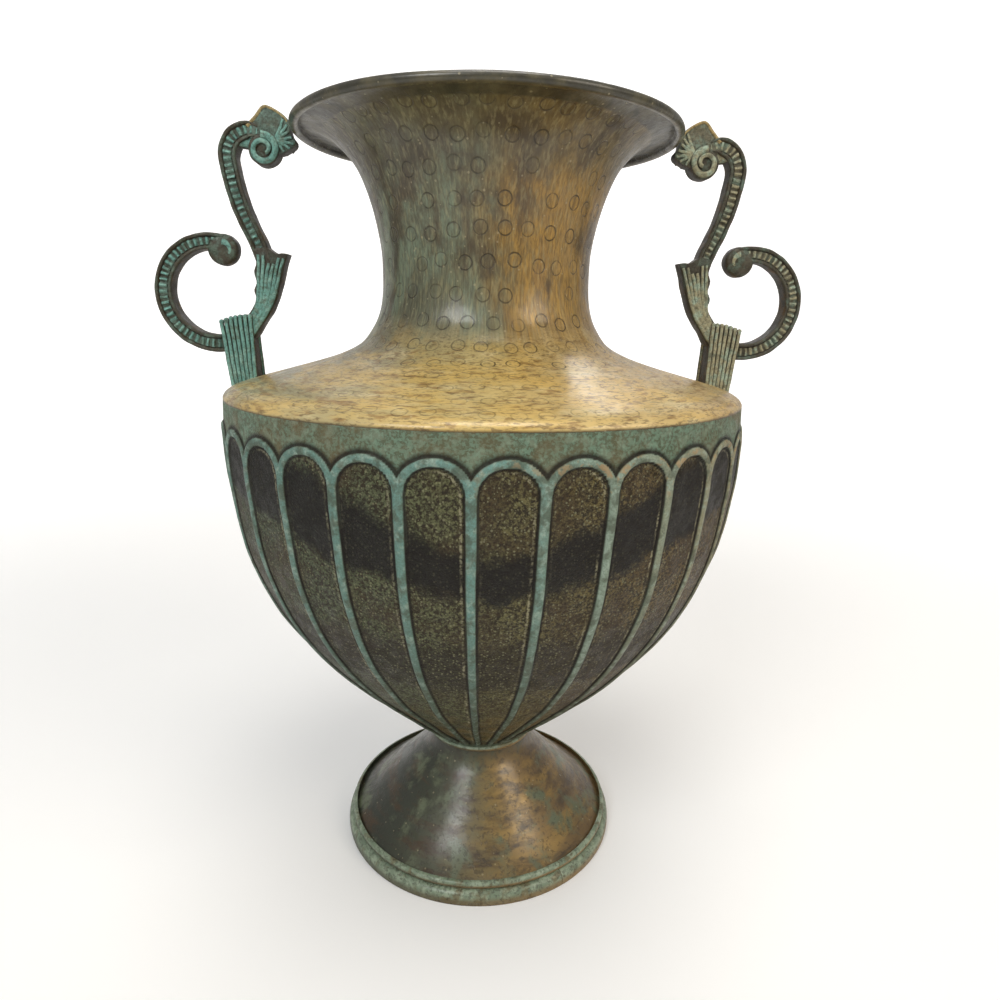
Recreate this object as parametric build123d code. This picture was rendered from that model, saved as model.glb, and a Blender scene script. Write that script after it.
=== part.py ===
from build123d import *
from math import atan, cos, radians, sin
import os

os.makedirs("parts", exist_ok=True)

# Heights above the floor of the belly's waist and top
belly_waist_height = 73.0
belly_top_height = 306.0

# Rises above the belly's top of the spun upper body
shoulder_edge_rise = 1.4
shoulder_bend_rise = 6.1
shoulder_root_rise = 31.0
throat_rise = 72.0
rim_rise = 151.0

# Radii of the turned body, and how the belly and the shoulder's bend lie from its edge
rim_radius = 112.0
throat_radius = 62.4
shoulder_edge_radius = 156.0
shoulder_bend_inset = 7.0
belly_bulge = 2.2
belly_waist_radius = 35.9
shoulder_root_sweep = 30.0
shoulder_edge_sweep = 8.0

# Sheet, rolled lip and shoulder seam
neck_wall = 1.2
belly_wall = 1.6
lip_roll_radius = 2.6
lip_roll_turn = 245.0
skirt_depth = 7.0
skirt_wall = 1.2
solder_gap = 0.12
seam_gap = 0.25
wire_play = 0.05
wire_sides = 6

# Flutes round the belly
flute_count = 30
flute_turn = 8.1
rib_proud = 1.4
rib_width_high = 6.0
rib_width_low = 3.4
band_height = 11.0
arch_drop = 16.6
arch_moulding = 4.3
arch_overlap = 1.75
flute_foot_rise = 2.5

# Collar and foot
collar_height = 4.0
collar_radius = 36.6
foot_wall = 1.2
foot_top_radius = 33.3
foot_skirt_radius = 88.8
foot_skirt_height = 11.5
bead_height = 5.4
bead_proud = 2.7
hem_height = 9.2
hem_proud = 5.8
ring_joint_gap = 0.35
ring_joint_turn = -57.0

# Centre bolt, its washers and nut
bolt_radius = 4.0
bolt_head_width = 13.0
bolt_head_height = 5.3
bolt_tail = 5.0
nut_height = 6.5
washer_radius = 10.0
washer_thickness = 1.6
hole_play = 0.25

# Cast scroll handles
casting_depth = 11.0
band_width = 10.6
band_edge = 2.2
band_sink = 1.1
scroll_radius = 29.4
scroll_end_radius = 8.6
scroll_end_proud = 0.4
scroll_start_turn = -108.0
scroll_end_turn = 104.0
scroll_volute_turn = 100.0
volute_turn = 60.0
volute_radius = 10.0
volute_depth = 14.0
volute_line = 1.7
volute_rise = 1.0
volute_turns = 1
leaf_depth = 13.0
husk_depth = 13.0
strap_depth_high = 14.0
strap_depth_low = 20.0
strap_reeds = 6
reed_proud = 1.0
handle_overhang = 42.3
handle_foot_inset = 9.4
rim_seat_gap = 0.12
foot_seat_gap = 0.1

# Screws that hold the handles from inside the shoulder
screw_radius = 2.5
screw_grip = 11.0
screw_head_radius = 4.6
screw_head_height = 2.8
screw_washer_radius = 6.2
screw_washer_thickness = 1.0
screw_washer_drop = 0.75
thread_fit = 0.03

# One overrun for every cut
overrun = 6.0

# Heights and radii that follow from the values above
shoulder_edge_height = belly_top_height + shoulder_edge_rise
shoulder_bend_height = belly_top_height + shoulder_bend_rise
shoulder_root_height = belly_top_height + shoulder_root_rise
throat_height = belly_top_height + throat_rise
rim_height = belly_top_height + rim_rise
arch_apex_height = belly_top_height - band_height
flute_foot_height = belly_waist_height + flute_foot_rise
belly_radius = shoulder_edge_radius + belly_bulge
shoulder_bend_radius = shoulder_edge_radius - shoulder_bend_inset
handle_foot_radius = shoulder_edge_radius - handle_foot_inset
handle_reach = shoulder_edge_radius + handle_overhang - rim_radius

# The flare of the lip, as shares of its spread and rise above the throat
flare_shares = ((0.05, 0.31), (0.17, 0.58), (0.39, 0.82), (0.566, 0.926), (0.725, 0.977))

# The belly below its top, as shares of its spread and rise above the waist
belly_shares = ((0.241, 0.116), (0.567, 0.288), (0.801, 0.459), (0.936, 0.631), (0.990, 0.803), (1.0, 0.910))

# The foot's dome, as shares of its spread and drop from the collar to the bead
dome_shares = ((0.055, 0.13), (0.14, 0.25), (0.41, 0.51), (0.70, 0.775), (0.86, 0.905))
hem_round_share = 0.6
hem_shares = ((0.45, 0.08), (0.85, 0.45))

# How far a round stretch's control points go towards its corner
bend_share = 0.58

# Where the handle's screw stands, as a share of the shoulder's bend from its edge
screw_place_share = 0.62

# Steps of a small round edge, and of a line drawn beside a curve
turn_steps = 4
beside_steps = 9

# Handle places, across as shares of its reach from the line between the shoulder's edge and the rim,
# and up as shares of its rise; a third share is how far the side that starts there bows out, of its length
volute_centre_share = (0.145, 0.907)
scroll_centre_share = (0.262, 0.355)
stem_shares = (
    (0.264, 0.978), (0.355, 0.967), (0.381, 0.899), (0.340, 0.835), (0.253, 0.735),
    (0.190, 0.673), (0.108, 0.604), (0.017, 0.520), (-0.059, 0.43),
)
leaf_shares = (
    (0.312, 0.985, 0.12), (0.225, 1.068, 0.25), (0.128, 1.055, 0.20), (0.021, 1.022, 0.20),
    (-0.075, 0.960, 0.20), (-0.030, 0.912, 0.10), (0.069, 0.900, 0.0),
)
husk_shares = (
    (-0.028, 0.190, 0.0), (-0.020, 0.285, -0.10), (-0.044, 0.345, 0.30), (-0.016, 0.410, -0.08),
    (0.086, 0.545, 0.0), (-0.067, 0.505, -0.20), (-0.183, 0.511, 0.0), (-0.173, 0.445, -0.03),
    (-0.160, 0.285, 0.05), (-0.081, 0.175, 0.0),
)
web_shares = ((0.192, 0.965), (0.377, 0.955), (0.315, 0.862), (0.185, 0.862))
stem_channel_shares = (0.06, 0.80)
scroll_channel_shares = (0.06, 0.93)
strap_shares = ((-0.041, 0.262), (0.030, 0.285), (0.109, 0.282), (0.168, 0.240), (-0.010, 0.0), (-0.198, 0.0))


def section(points):
    """A closed face with straight sides through points in the plane of the axis."""
    return make_face(Polyline(*[(r, 0, z) for r, z in points], close=True))


def turned(face, turn=360.0):
    """The solid that a section sweeps about the vase's axis."""
    return revolve(face, Axis.Z, revolution_arc=turn)


def beside(edge, distance):
    """An edge at a distance to the left of another seen from the front, inside the vase where it climbs."""

    def at(share):
        along = edge % share
        return edge @ share + distance * Vector(-along.Z, 0, along.X)

    if edge.geom_type == GeomType.LINE:
        return Line(at(0), at(1))
    if edge.geom_type == GeomType.CIRCLE:
        return ThreePointArc(at(0), at(0.5), at(1))
    return Spline(*[at(n / beside_steps) for n in range(beside_steps + 1)])


def sheet(edges, wall):
    """A sheet's section from its outer line, the wall measured inwards."""
    inner = [beside(edge, wall) for edge in edges]
    ends = [Line(edges[0] @ 0, inner[0] @ 0), Line(edges[-1] @ 1, inner[-1] @ 1)]
    return make_face([*edges, *inner, *ends])


def disc(radius, low, high, hole=0.0):
    """A round plate about the axis, with a hole if its radius isn't zero."""
    return turned(section([(hole, low), (radius, low), (radius, high), (hole, high)]))


def between(start, end, shares):
    """Points at shares of the way from start to end, across and up."""
    return [(start[0] + a * (end[0] - start[0]), start[1] + b * (end[1] - start[1])) for a, b in shares]


def curve(points, **ends):
    """A smooth edge through points in the plane of the axis."""
    return Spline(*[(r, 0, z) for r, z in points], **ends)


def bend(start, corner, end):
    """A round stretch from start to end, its end tangents meeting at the corner."""

    def towards(point):
        return tuple(p + bend_share * (c - p) for p, c in zip(point, corner))

    return Bezier(*[(r, 0, z) for r, z in (start, towards(start), towards(end), end)])


def turn_points(centre, radius, start, end):
    """Evenly spaced points of a circle in the plane of the axis, from one angle to another."""
    angles = [radians(start + (end - start) * n / turn_steps) for n in range(turn_steps + 1)]
    return [(centre[0] + radius * cos(a), centre[1] + radius * sin(a)) for a in angles]


# The shoulder's slope from the root of the neck to its bend
shoulder_slope = atan((shoulder_root_height - shoulder_bend_height) / (shoulder_bend_radius - throat_radius))


def shoulder_height_at(radius):
    """Height of the shoulder's outer face on its straight slope."""
    return shoulder_root_height - (radius - throat_radius) * sin(shoulder_slope) / cos(shoulder_slope)


def shoulder_point(radius):
    """A point of the shoulder's straight slope."""
    return (radius, shoulder_height_at(radius))


def neck_edges():
    """The outer line of neck and shoulder, from the shoulder's edge up to the lip's roll."""
    edge = (shoulder_edge_radius, shoulder_edge_height)
    low = shoulder_point(shoulder_bend_radius - shoulder_edge_sweep * cos(shoulder_slope))
    high = shoulder_point(throat_radius + shoulder_root_sweep * cos(shoulder_slope))
    root_top = (throat_radius, shoulder_root_height + shoulder_root_sweep)
    throat = (throat_radius, throat_height)
    lip = (rim_radius - lip_roll_radius, rim_height - neck_wall)
    return [
        bend(edge, shoulder_point(shoulder_bend_radius), low),
        Line((low[0], 0, low[1]), (high[0], 0, high[1])),
        bend(high, shoulder_point(throat_radius), root_top),
        Line((root_top[0], 0, root_top[1]), (throat[0], 0, throat[1])),
        curve([throat, *between(throat, lip, flare_shares), lip], tangents=[(0, 0, 1), (1, 0, 0)]),
    ]


def lip_roll_face():
    """Section of the sheet rolled round the rim wire in small flats, open below the lip."""
    centre = (rim_radius - lip_roll_radius, rim_height - lip_roll_radius)
    top = 90.0
    end = top - lip_roll_turn
    outer = turn_points(centre, lip_roll_radius, top, end)
    inner = turn_points(centre, lip_roll_radius - neck_wall, top, end)
    return section([*outer, *reversed(inner)])


def seam_face():
    """Section of the shoulder's folded edge and the skirt that laps inside the belly."""
    skirt_outer = shoulder_edge_radius - belly_wall - seam_gap
    skirt_inner = skirt_outer - skirt_wall
    fall = (shoulder_bend_height - shoulder_edge_height) / (shoulder_edge_radius - shoulder_bend_radius)
    fold_height = shoulder_edge_height + fall * (shoulder_edge_radius - skirt_inner)
    return section([
        (shoulder_edge_radius, shoulder_edge_height),
        (shoulder_edge_radius, belly_top_height),
        (skirt_outer, belly_top_height),
        (skirt_outer, belly_top_height - skirt_depth),
        (skirt_inner, belly_top_height - skirt_depth),
        (skirt_inner, fold_height - neck_wall / 2),
    ])


def screw_frame(side):
    """A plane on the shoulder at a handle's foot, its Z square to the sheet and outwards."""
    edge = neck_edges()[0]
    foot = edge @ screw_place_share
    along = edge % screw_place_share
    return Plane(origin=(side * foot.X, 0, foot.Z), x_dir=(0, 1, 0), z_dir=(side * along.Z, 0, -along.X))


def neck_and_shoulder():
    """Spun upper body: lip, neck, shoulder and the folded seam, with two screw holes."""
    body = turned(sheet(neck_edges(), neck_wall)) + turned(lip_roll_face()) + turned(seam_face())
    for side in (-1, 1):
        hole = Cylinder(screw_radius + hole_play, 2 * overrun)
        body -= screw_frame(side) * hole
    return body


def rim_wire():
    """Wire that the lip is rolled about, drawn with flat sides because the roll hides it."""
    flat_step = radians(lip_roll_turn / turn_steps)
    radius = (lip_roll_radius - neck_wall) * cos(flat_step / 2) - wire_play
    place = (rim_radius - lip_roll_radius, rim_height - lip_roll_radius)
    return turned(Plane.XZ * Pos(*place) * RegularPolygon(radius, wire_sides))


def belly_curve(depth):
    """The belly's line at a depth under the tops of its ribs, run on past the seam to be cut off level."""
    start = (belly_waist_radius, belly_waist_height)
    widest = (belly_radius, belly_top_height)
    end = (shoulder_edge_radius + rib_proud, belly_top_height)
    past = (2 * end[0] - belly_radius, belly_top_height + overrun)
    return beside(curve([start, *between(start, widest, belly_shares), end, past]), depth)


def floor_section():
    """Half section of all that lies inside the flute floors and the plain band."""
    floor = belly_curve(rib_proud)
    low = floor @ 0
    high = floor @ 1
    return make_face([floor, *Polyline(high, (0, 0, high.Z), (0, 0, low.Z), low).edges()])


def radial_prism(outline, near, far):
    """A prism that runs outwards along +X over an outline given across and up."""
    face = make_face(outline)
    return extrude(Plane(origin=(near, 0, 0), x_dir=(0, 1, 0), z_dir=(1, 0, 0)) * face, far - near)


def arch_outline(half, drop, low):
    """A half-ellipse on two straight sides."""
    spring = arch_apex_height - arch_drop
    return [
        EllipticalCenterArc((0, spring), half, drop, arc_size=180),
        Line((-half, spring), (-half, low)),
        Line((-half, low), (half, low)),
        Line((half, low), (half, spring)),
    ]


def flute_half_pitch():
    """Half of one flute's width along the belly at its widest."""
    return belly_radius * sin(radians(180.0 / flute_count))


def flute_cut():
    """The pocket of one flute: sides straight beside the ribs, an arched head, a floor flat across."""
    half_turn = radians(180.0 / flute_count)
    far = belly_radius + overrun
    near_low = rib_width_low / 2 / sin(half_turn)
    near_high = rib_width_high / 2 / sin(half_turn)
    spread = (far - near_low) * sin(half_turn) / cos(half_turn)
    low = flute_foot_height
    base = make_face(Polyline((near_low, 0, low), (far, -spread, low), (far, spread, low), close=True))
    lean = Vector(near_high - near_low, 0, arch_apex_height - low)
    sides = extrude(base, lean.length, dir=lean)
    half = flute_half_pitch() - rib_width_high / 2
    head = radial_prism(arch_outline(half, arch_drop - arch_moulding, low), belly_waist_radius / 2, far)
    return (sides & head) - extrude(floor_section(), 2 * flute_half_pitch(), both=True)


def flute_place(n):
    """Turn of flute n about the axis."""
    return Rot(0, 0, flute_turn + n * 360.0 / flute_count)


def band_cut():
    """What is taken off above the arches to leave the plain band, scalloped by every arch."""
    half = flute_half_pitch() + arch_overlap
    spring = arch_apex_height - arch_drop
    near = belly_radius - 2 * overrun
    far = belly_radius + 2 * overrun
    high = belly_top_height + overrun / 2
    outside = section([(near, spring), (far, spring), (far, high), (near, high)]) - floor_section()
    arch = radial_prism(arch_outline(half, arch_drop, spring - overrun), near - overrun, far + overrun)
    return turned(outside) - [flute_place(n) * arch for n in range(flute_count)]


def fluted_belly():
    """Bowl with a flat bottom, its flutes sunk between raised ribs under arches."""
    bowl = turned(sheet([belly_curve(0)], belly_wall + rib_proud))
    bowl -= disc(belly_radius + overrun, belly_top_height, belly_top_height + 2 * overrun)
    bowl += disc(belly_waist_radius, belly_waist_height, belly_waist_height + belly_wall)
    bowl -= disc(bolt_radius + hole_play, belly_waist_height - overrun, belly_waist_height + overrun)
    pocket = flute_cut()
    return bowl - [band_cut(), *[flute_place(n) * pocket for n in range(flute_count)]]


def waist_collar():
    """Ring with a rounded edge, clamped between belly and foot."""
    high = belly_waist_height
    low = high - collar_height
    half = collar_height / 2
    edge = turn_points((collar_radius - half, low + half), half, -90.0, 90.0)
    hole = bolt_radius + hole_play
    return turned(section([*edge, (hole, high), (hole, low)]))


def foot_top_height():
    """Height of the foot's flat top, under the collar."""
    return belly_waist_height - collar_height


def foot():
    """Spun dome with a flat top, flaring to an upright skirt, open below."""
    top = (foot_top_radius, foot_top_height())
    low = (foot_skirt_radius, foot_skirt_height)
    dome = curve([top, *between(top, low, dome_shares), low])
    under = beside(dome, -foot_wall)
    high = under @ 0
    corner = under @ 1
    skirt = low[0] - foot_wall
    outside = Polyline(dome @ 1, (low[0], 0, 0), (0, 0, 0), (0, 0, top[1]), dome @ 0)
    inside = Polyline(corner, (skirt, 0, corner.Z), (skirt, 0, 0), (0, 0, 0), (0, 0, high.Z), high)
    cavity = turned(make_face([under, *inside.edges()])) - disc(foot_top_radius, top[1] - foot_wall, top[1])
    hole = disc(bolt_radius + hole_play, top[1] - overrun, top[1] + overrun)
    return turned(make_face([dome, *outside.edges()])) - cavity - hole


def ring_with_joint(face):
    """A ring bent from strip, its two ends meeting at one place."""
    ring = turned(face)
    cut = Box(2 * overrun, ring_joint_gap, 2 * foot_skirt_height)
    place = Rot(0, 0, ring_joint_turn) * Pos(foot_skirt_radius + overrun, 0, hem_height)
    return ring - place * cut


def foot_bead_ring():
    """Half-round strip soldered round the top of the foot's skirt."""
    back = foot_skirt_radius + solder_gap
    half = bead_height / 2
    flatten = (bead_proud - solder_gap) / half
    front = turn_points((back, hem_height + half), half, -90.0, 90.0)
    return ring_with_joint(section([(back + (r - back) * flatten, z) for r, z in front]))


def foot_hem_ring():
    """Heavy strip with a rounded top edge round the foot's skirt, which the vase stands on."""
    back = foot_skirt_radius + solder_gap
    front = foot_skirt_radius + hem_proud
    spring = (1 - hem_round_share) * hem_height
    top = (back, hem_height)
    rounds = between(top, (front, spring), hem_shares)
    return ring_with_joint(section([(back, 0), (front, 0), (front, spring), *reversed(rounds), top]))


def foot_bolt():
    """Hexagon bolt down through belly, collar and foot."""
    seat = belly_waist_height + belly_wall + washer_thickness
    tail = foot_top_height() - foot_wall - washer_thickness - nut_height - bolt_tail
    hexagon = RegularPolygon(bolt_head_width / 2, 6, major_radius=False)
    return Pos(0, 0, seat) * extrude(hexagon, bolt_head_height) + disc(bolt_radius, tail, seat)


def bolt_washer(low):
    """Flat washer on the centre bolt, its underside at low."""
    return disc(washer_radius, low, low + washer_thickness, bolt_radius + hole_play)


def foot_nut():
    """Hexagon nut under the foot's top."""
    low = foot_top_height() - foot_wall - washer_thickness - nut_height
    body = extrude(RegularPolygon(bolt_head_width / 2, 6, major_radius=False), nut_height)
    return Pos(0, 0, low) * body - disc(bolt_radius + thread_fit, low - overrun, low + nut_height + overrun)


def handle_screw(side):
    """Machine screw from inside the shoulder up into the handle's foot."""
    head_low = -neck_wall - screw_washer_drop - screw_washer_thickness - screw_head_height
    upwards = (Align.CENTER, Align.CENTER, Align.MIN)
    stem = Cylinder(screw_radius, screw_grip - head_low, align=upwards)
    head = Cylinder(screw_head_radius, screw_head_height, align=upwards)
    slot = Box(2 * screw_head_radius, screw_washer_thickness, screw_head_height)
    return screw_frame(side) * Pos(0, 0, head_low) * (stem + head - slot)


def handle_washer(side):
    """Washer under the screw's head, inside the shoulder, its edge on the bent sheet."""
    middle = -neck_wall - screw_washer_drop - screw_washer_thickness / 2
    hole = Cylinder(screw_radius + hole_play, 2 * overrun)
    return screw_frame(side) * Pos(0, 0, middle) * (Cylinder(screw_washer_radius, screw_washer_thickness) - hole)


def handle_place(share):
    """A point of the handle's plane at shares of its reach and rise."""
    low = shoulder_height_at(handle_foot_radius)
    base = shoulder_edge_radius + share[1] * (rim_radius - shoulder_edge_radius)
    return (base + share[0] * handle_reach, low + share[1] * (rim_height - low))


def handle_points(shares):
    """Several points of the handle's plane."""
    return [handle_place(share) for share in shares]


def plate(face, depth):
    """A casting's body of one depth, centred on the handle's plane."""
    return extrude(face, depth / 2, both=True)


def ribbon(line, width):
    """A face of one width along a line in the handle's plane, with square ends."""
    left = beside(line, width / 2)
    right = beside(line, -width / 2)
    return make_face([left, right, Line(left @ 0, right @ 0), Line(left @ 1, right @ 1)])


def stem_line():
    """Middle line of the stem, from the volute's top down into the husk."""
    return curve(handle_points(stem_shares))


def scroll_centre():
    """Centre of the open scroll."""
    return handle_place(scroll_centre_share)


def scroll_line():
    """Middle line of the open scroll, from the strap round to its rolled end."""
    centre = scroll_centre()

    def at(turn):
        angle = radians(turn)
        return (centre[0] + scroll_radius * cos(angle), 0, centre[1] + scroll_radius * sin(angle))

    return ThreePointArc(at(scroll_start_turn), at(0), at(scroll_end_turn))


def scroll_end_centre():
    """Centre of the scroll's rolled end, its edge a little proud of the band's."""
    centre = scroll_centre()
    reach = scroll_radius + band_width / 2 - scroll_end_radius + scroll_end_proud
    turn = radians(scroll_end_turn)
    return (centre[0] + reach * cos(turn), centre[1] + reach * sin(turn))


def channelled_band(line, shares):
    """A band with raised edges and a sunk channel between them on both faces."""
    floor_depth = casting_depth - 2 * band_sink
    body = plate(ribbon(line, band_width), casting_depth)
    channel = ribbon(line.trim(*shares), band_width - 2 * band_edge)
    for side in (-1, 1):
        body -= Pos(0, side * (floor_depth / 2 + overrun / 2), 0) * plate(channel, overrun)
    return body


def half_ring(centre, radius, width, below):
    """Half of a flat ring in the handle's plane, above or below its centre."""
    bow = -1 if below else 1

    def arc(r):
        ends = [(centre[0] + side * r, 0, centre[1]) for side in (1, -1)]
        return ThreePointArc(ends[0], (centre[0], 0, centre[1] + bow * r), ends[1])

    outer = arc(radius + width / 2)
    inner = arc(radius - width / 2)
    return make_face([outer, inner, Line(outer @ 0, inner @ 0), Line(outer @ 1, inner @ 1)])


def volute(centre, radius, depth, start_turn, hand):
    """A round boss with a raised spiral of half rings on both faces, each smaller towards the eye."""
    halves = 2 * volute_turns
    middle = centre[0]
    r = radius - volute_line / 2
    step = r / (halves + 1)
    body = Pos(centre[0], 0, centre[1]) * (Rot(90, 0, 0) * Cylinder(r, depth - 2 * volute_rise))
    axis = Axis((centre[0], 0, centre[1]), (0, -1, 0))
    for n in range(halves):
        below = n % 2 == 1
        ring = plate(half_ring((middle, centre[1]), r, volute_line, below), depth)
        body += ring.rotate(axis, start_turn)
        middle += hand * (step if below else -step)
        r -= step
    return body


def lobed(shares, depth):
    """A leaf-like plate of one depth, its outline given anticlockwise, each side straight or bowed."""
    sides = []
    for start, end in zip(shares, shares[1:] + shares[:1]):
        a = handle_place(start)
        b = handle_place(end)
        bow = start[2]
        middle = ((a[0] + b[0]) / 2 + bow * (b[1] - a[1]), 0, (a[1] + b[1]) / 2 - bow * (b[0] - a[0]))
        ends = ((a[0], 0, a[1]), (b[0], 0, b[1]))
        sides.append(ThreePointArc(ends[0], middle, ends[1]) if bow else Line(*ends))
    return plate(make_face(sides), depth)


def side_profile(extra):
    """The strap's depth seen from the side, widening down to its foot, as a prism across it."""
    low = handle_place(strap_shares[-1])[1] - overrun
    high = handle_place(strap_shares[1])[1] + overrun
    a = strap_depth_low / 2 + extra
    b = strap_depth_high / 2 + extra
    face = make_face(Polyline((0, -a, low), (0, a, low), (0, b, high), (0, -b, high), close=True))
    reach = rim_radius + handle_reach
    return extrude(face, reach, dir=(1, 0, 0))


def strap():
    """Reeded strap that wraps the joint of husk and scroll and stands on the shoulder."""
    top_in, crown, top_bend, top_out, low_out, low_in = handle_points(strap_shares)
    drop = overrun
    foot_out = (low_out[0], low_out[1] - drop)
    foot_in = (low_in[0], low_in[1] - drop)
    face = section([top_in, crown, top_bend, top_out, low_out, foot_out, foot_in, low_in])
    deepest = strap_depth_low + 2 * overrun
    body = plate(face, deepest) & side_profile(0)
    reeds = []
    for n in range(strap_reeds):
        a = (n + 0.2) / strap_reeds
        b = (n + 0.8) / strap_reeds
        corners = [
            (foot_in[0] + a * (foot_out[0] - foot_in[0]), foot_in[1]),
            (foot_in[0] + b * (foot_out[0] - foot_in[0]), foot_in[1]),
            (top_in[0] + b * (top_out[0] - top_in[0]), top_in[1] + b * (top_out[1] - top_in[1])),
            (top_in[0] + a * (top_out[0] - top_in[0]), top_in[1] + a * (top_out[1] - top_in[1])),
        ]
        reeds.append(plate(section(corners), deepest) & side_profile(reed_proud))
    return body + reeds


def seat_cut():
    """What the handle must stay clear of: the rolled lip above and the shoulder below."""
    roll = (rim_radius - lip_roll_radius, rim_height - lip_roll_radius)
    lip = turned(Plane.XZ * Pos(*roll) * Circle(lip_roll_radius + rim_seat_gap))
    over_lip = disc(roll[0], roll[1], rim_height + 2 * overrun)
    low = shoulder_height_at(shoulder_edge_radius)
    cone = turned(section([
        (0, low - 2 * overrun),
        (shoulder_edge_radius + overrun, low - 2 * overrun),
        (shoulder_edge_radius + overrun, shoulder_height_at(shoulder_edge_radius + overrun) + foot_seat_gap),
        (throat_radius, shoulder_root_height + foot_seat_gap),
        (0, shoulder_root_height + foot_seat_gap),
    ]))
    return [lip, over_lip, cone]


def handle(side):
    """One scroll handle, cast in one piece: leaf, volute, stem, husk, open scroll and strap."""
    body = channelled_band(stem_line(), stem_channel_shares)
    body += channelled_band(scroll_line(), scroll_channel_shares)
    body += volute(handle_place(volute_centre_share), volute_radius, volute_depth, volute_turn, 1)
    body += volute(scroll_end_centre(), scroll_end_radius, volute_depth, scroll_volute_turn, -1)
    body += plate(section(handle_points(web_shares)), casting_depth - 2 * band_sink)
    body += lobed(leaf_shares, leaf_depth)
    body += lobed(husk_shares, husk_depth)
    body += strap()
    bore = screw_frame(1) * Cylinder(screw_radius + thread_fit, 2 * (screw_grip + hole_play))
    body = body - [*seat_cut(), bore]
    return body if side > 0 else Rot(0, 0, 180) * body


def build():
    """Every piece of the vase by its node's name."""
    nut_seat = foot_top_height() - foot_wall - washer_thickness
    return {
        "neck_and_shoulder": neck_and_shoulder(),
        "rim_wire": rim_wire(),
        "fluted_belly": fluted_belly(),
        "waist_collar": waist_collar(),
        "foot": foot(),
        "foot_bead_ring": foot_bead_ring(),
        "foot_hem_ring": foot_hem_ring(),
        "foot_bolt": foot_bolt(),
        "belly_washer": bolt_washer(belly_waist_height + belly_wall),
        "foot_washer": bolt_washer(nut_seat),
        "foot_nut": foot_nut(),
        "left_handle": handle(-1),
        "right_handle": handle(1),
        "left_handle_screw": handle_screw(-1),
        "right_handle_screw": handle_screw(1),
        "left_handle_washer": handle_washer(-1),
        "right_handle_washer": handle_washer(1),
    }


for name, shape in build().items():
    export_step(shape, f"parts/{name}.step")
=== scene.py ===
"""Looks of a patinated brass urn vase: every sub-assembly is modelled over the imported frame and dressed.

Sizes are millimetres on the bench, and a finished mesh is brought to metres.
"""

import logging
import math
import random
from dataclasses import dataclass
from enum import Enum
from typing import Callable, Sequence, Union

import bmesh
import bpy
from bmesh.types import BMEdge, BMVert
from mathutils import Matrix, Vector, noise
from mathutils.geometry import interpolate_bezier

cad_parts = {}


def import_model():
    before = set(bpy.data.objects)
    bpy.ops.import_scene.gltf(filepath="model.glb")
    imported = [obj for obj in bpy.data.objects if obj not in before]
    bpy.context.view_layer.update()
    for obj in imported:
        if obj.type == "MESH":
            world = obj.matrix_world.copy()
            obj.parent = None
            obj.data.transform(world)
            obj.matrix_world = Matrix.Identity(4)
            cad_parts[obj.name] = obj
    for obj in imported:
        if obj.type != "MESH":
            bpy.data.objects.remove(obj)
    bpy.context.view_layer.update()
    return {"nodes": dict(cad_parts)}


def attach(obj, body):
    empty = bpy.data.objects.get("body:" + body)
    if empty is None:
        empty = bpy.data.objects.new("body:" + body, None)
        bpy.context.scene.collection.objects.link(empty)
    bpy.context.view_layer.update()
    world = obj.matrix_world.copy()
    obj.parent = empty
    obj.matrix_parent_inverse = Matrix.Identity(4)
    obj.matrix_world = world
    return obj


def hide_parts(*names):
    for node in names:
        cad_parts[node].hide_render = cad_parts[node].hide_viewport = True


METRES_PER_MM = 0.001
MM_PER_METRE = 1000.0
LOG = logging.getLogger("urn_vase")
BODY = "root"
FULL_TURN = 360.0
# Degrees between two faces from which their edge is kept sharp.
SHARP_ANGLE = 50.0
# Millimetres above the floor that no unevenness moves, so that the vase stands flat.
FLAT_ZONE = 1.0
CURVE_STEPS = 24
# Front and back of a handle, along Y.
FACES = (-1.0, 1.0)

Pair = tuple[float, float]
Colour = tuple[float, float, float, float]
Ring = list[tuple[float, float, float]]
Stop = tuple[float, int, int, int]
Point = tuple[float, float, float]
Socket = bpy.types.NodeSocket
Node = bpy.types.Node
Tree = bpy.types.NodeTree
Material = bpy.types.Material
Item = bpy.types.Object
Feed = Union[Socket, float, Colour]


class Slot(Enum):
    """Material slots of the record."""

    LACQUERED = "lacquered_brass"
    FLUTED = "fluted_brass_patina"
    CAST = "cast_brass_verdigris"
    PLAIN = "plain_brass"


class Side(Enum):
    """Which end of the X axis a handle stands on."""

    LEFT = -1
    RIGHT = 1


def tone(red: int, green: int, blue: int) -> Colour:
    """A colour as the eye reads it, in the linear values that a node takes.

    Args:
        red: red part, 0 to 255.
        green: green part, 0 to 255.
        blue: blue part, 0 to 255.

    Returns:
        Linear red, green, blue and an alpha of 1.
    """

    def linear(part: int) -> float:
        """One part on the linear scale."""
        share = part / 255.0
        return share / 12.92 if share <= 0.04045 else ((share + 0.055) / 1.055) ** 2.4

    return (linear(red), linear(green), linear(blue), 1.0)


def at(x: float, z: float) -> Vector:
    """A point of the XZ plane."""
    return Vector((x, 0.0, z))


def even(line: Sequence[Vector], spacing: float) -> list[Vector]:
    """The same line with its points at even steps.

    Args:
        line: points of the line.
        spacing: wanted length of a step in millimetres.

    Returns:
        Points from the first to the last of the line.
    """
    marks = [0.0]
    for start, end in zip(line, line[1:]):
        marks.append(marks[-1] + (end - start).length)
    count = max(1, round(marks[-1] / spacing))
    points = []
    span = 0
    for step in range(count + 1):
        mark = marks[-1] * step / count
        while span < len(line) - 2 and marks[span + 1] < mark:
            span += 1
        length = marks[span + 1] - marks[span]
        points.append(line[span].lerp(line[span + 1], (mark - marks[span]) / length if length else 0.0))
    return points


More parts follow.
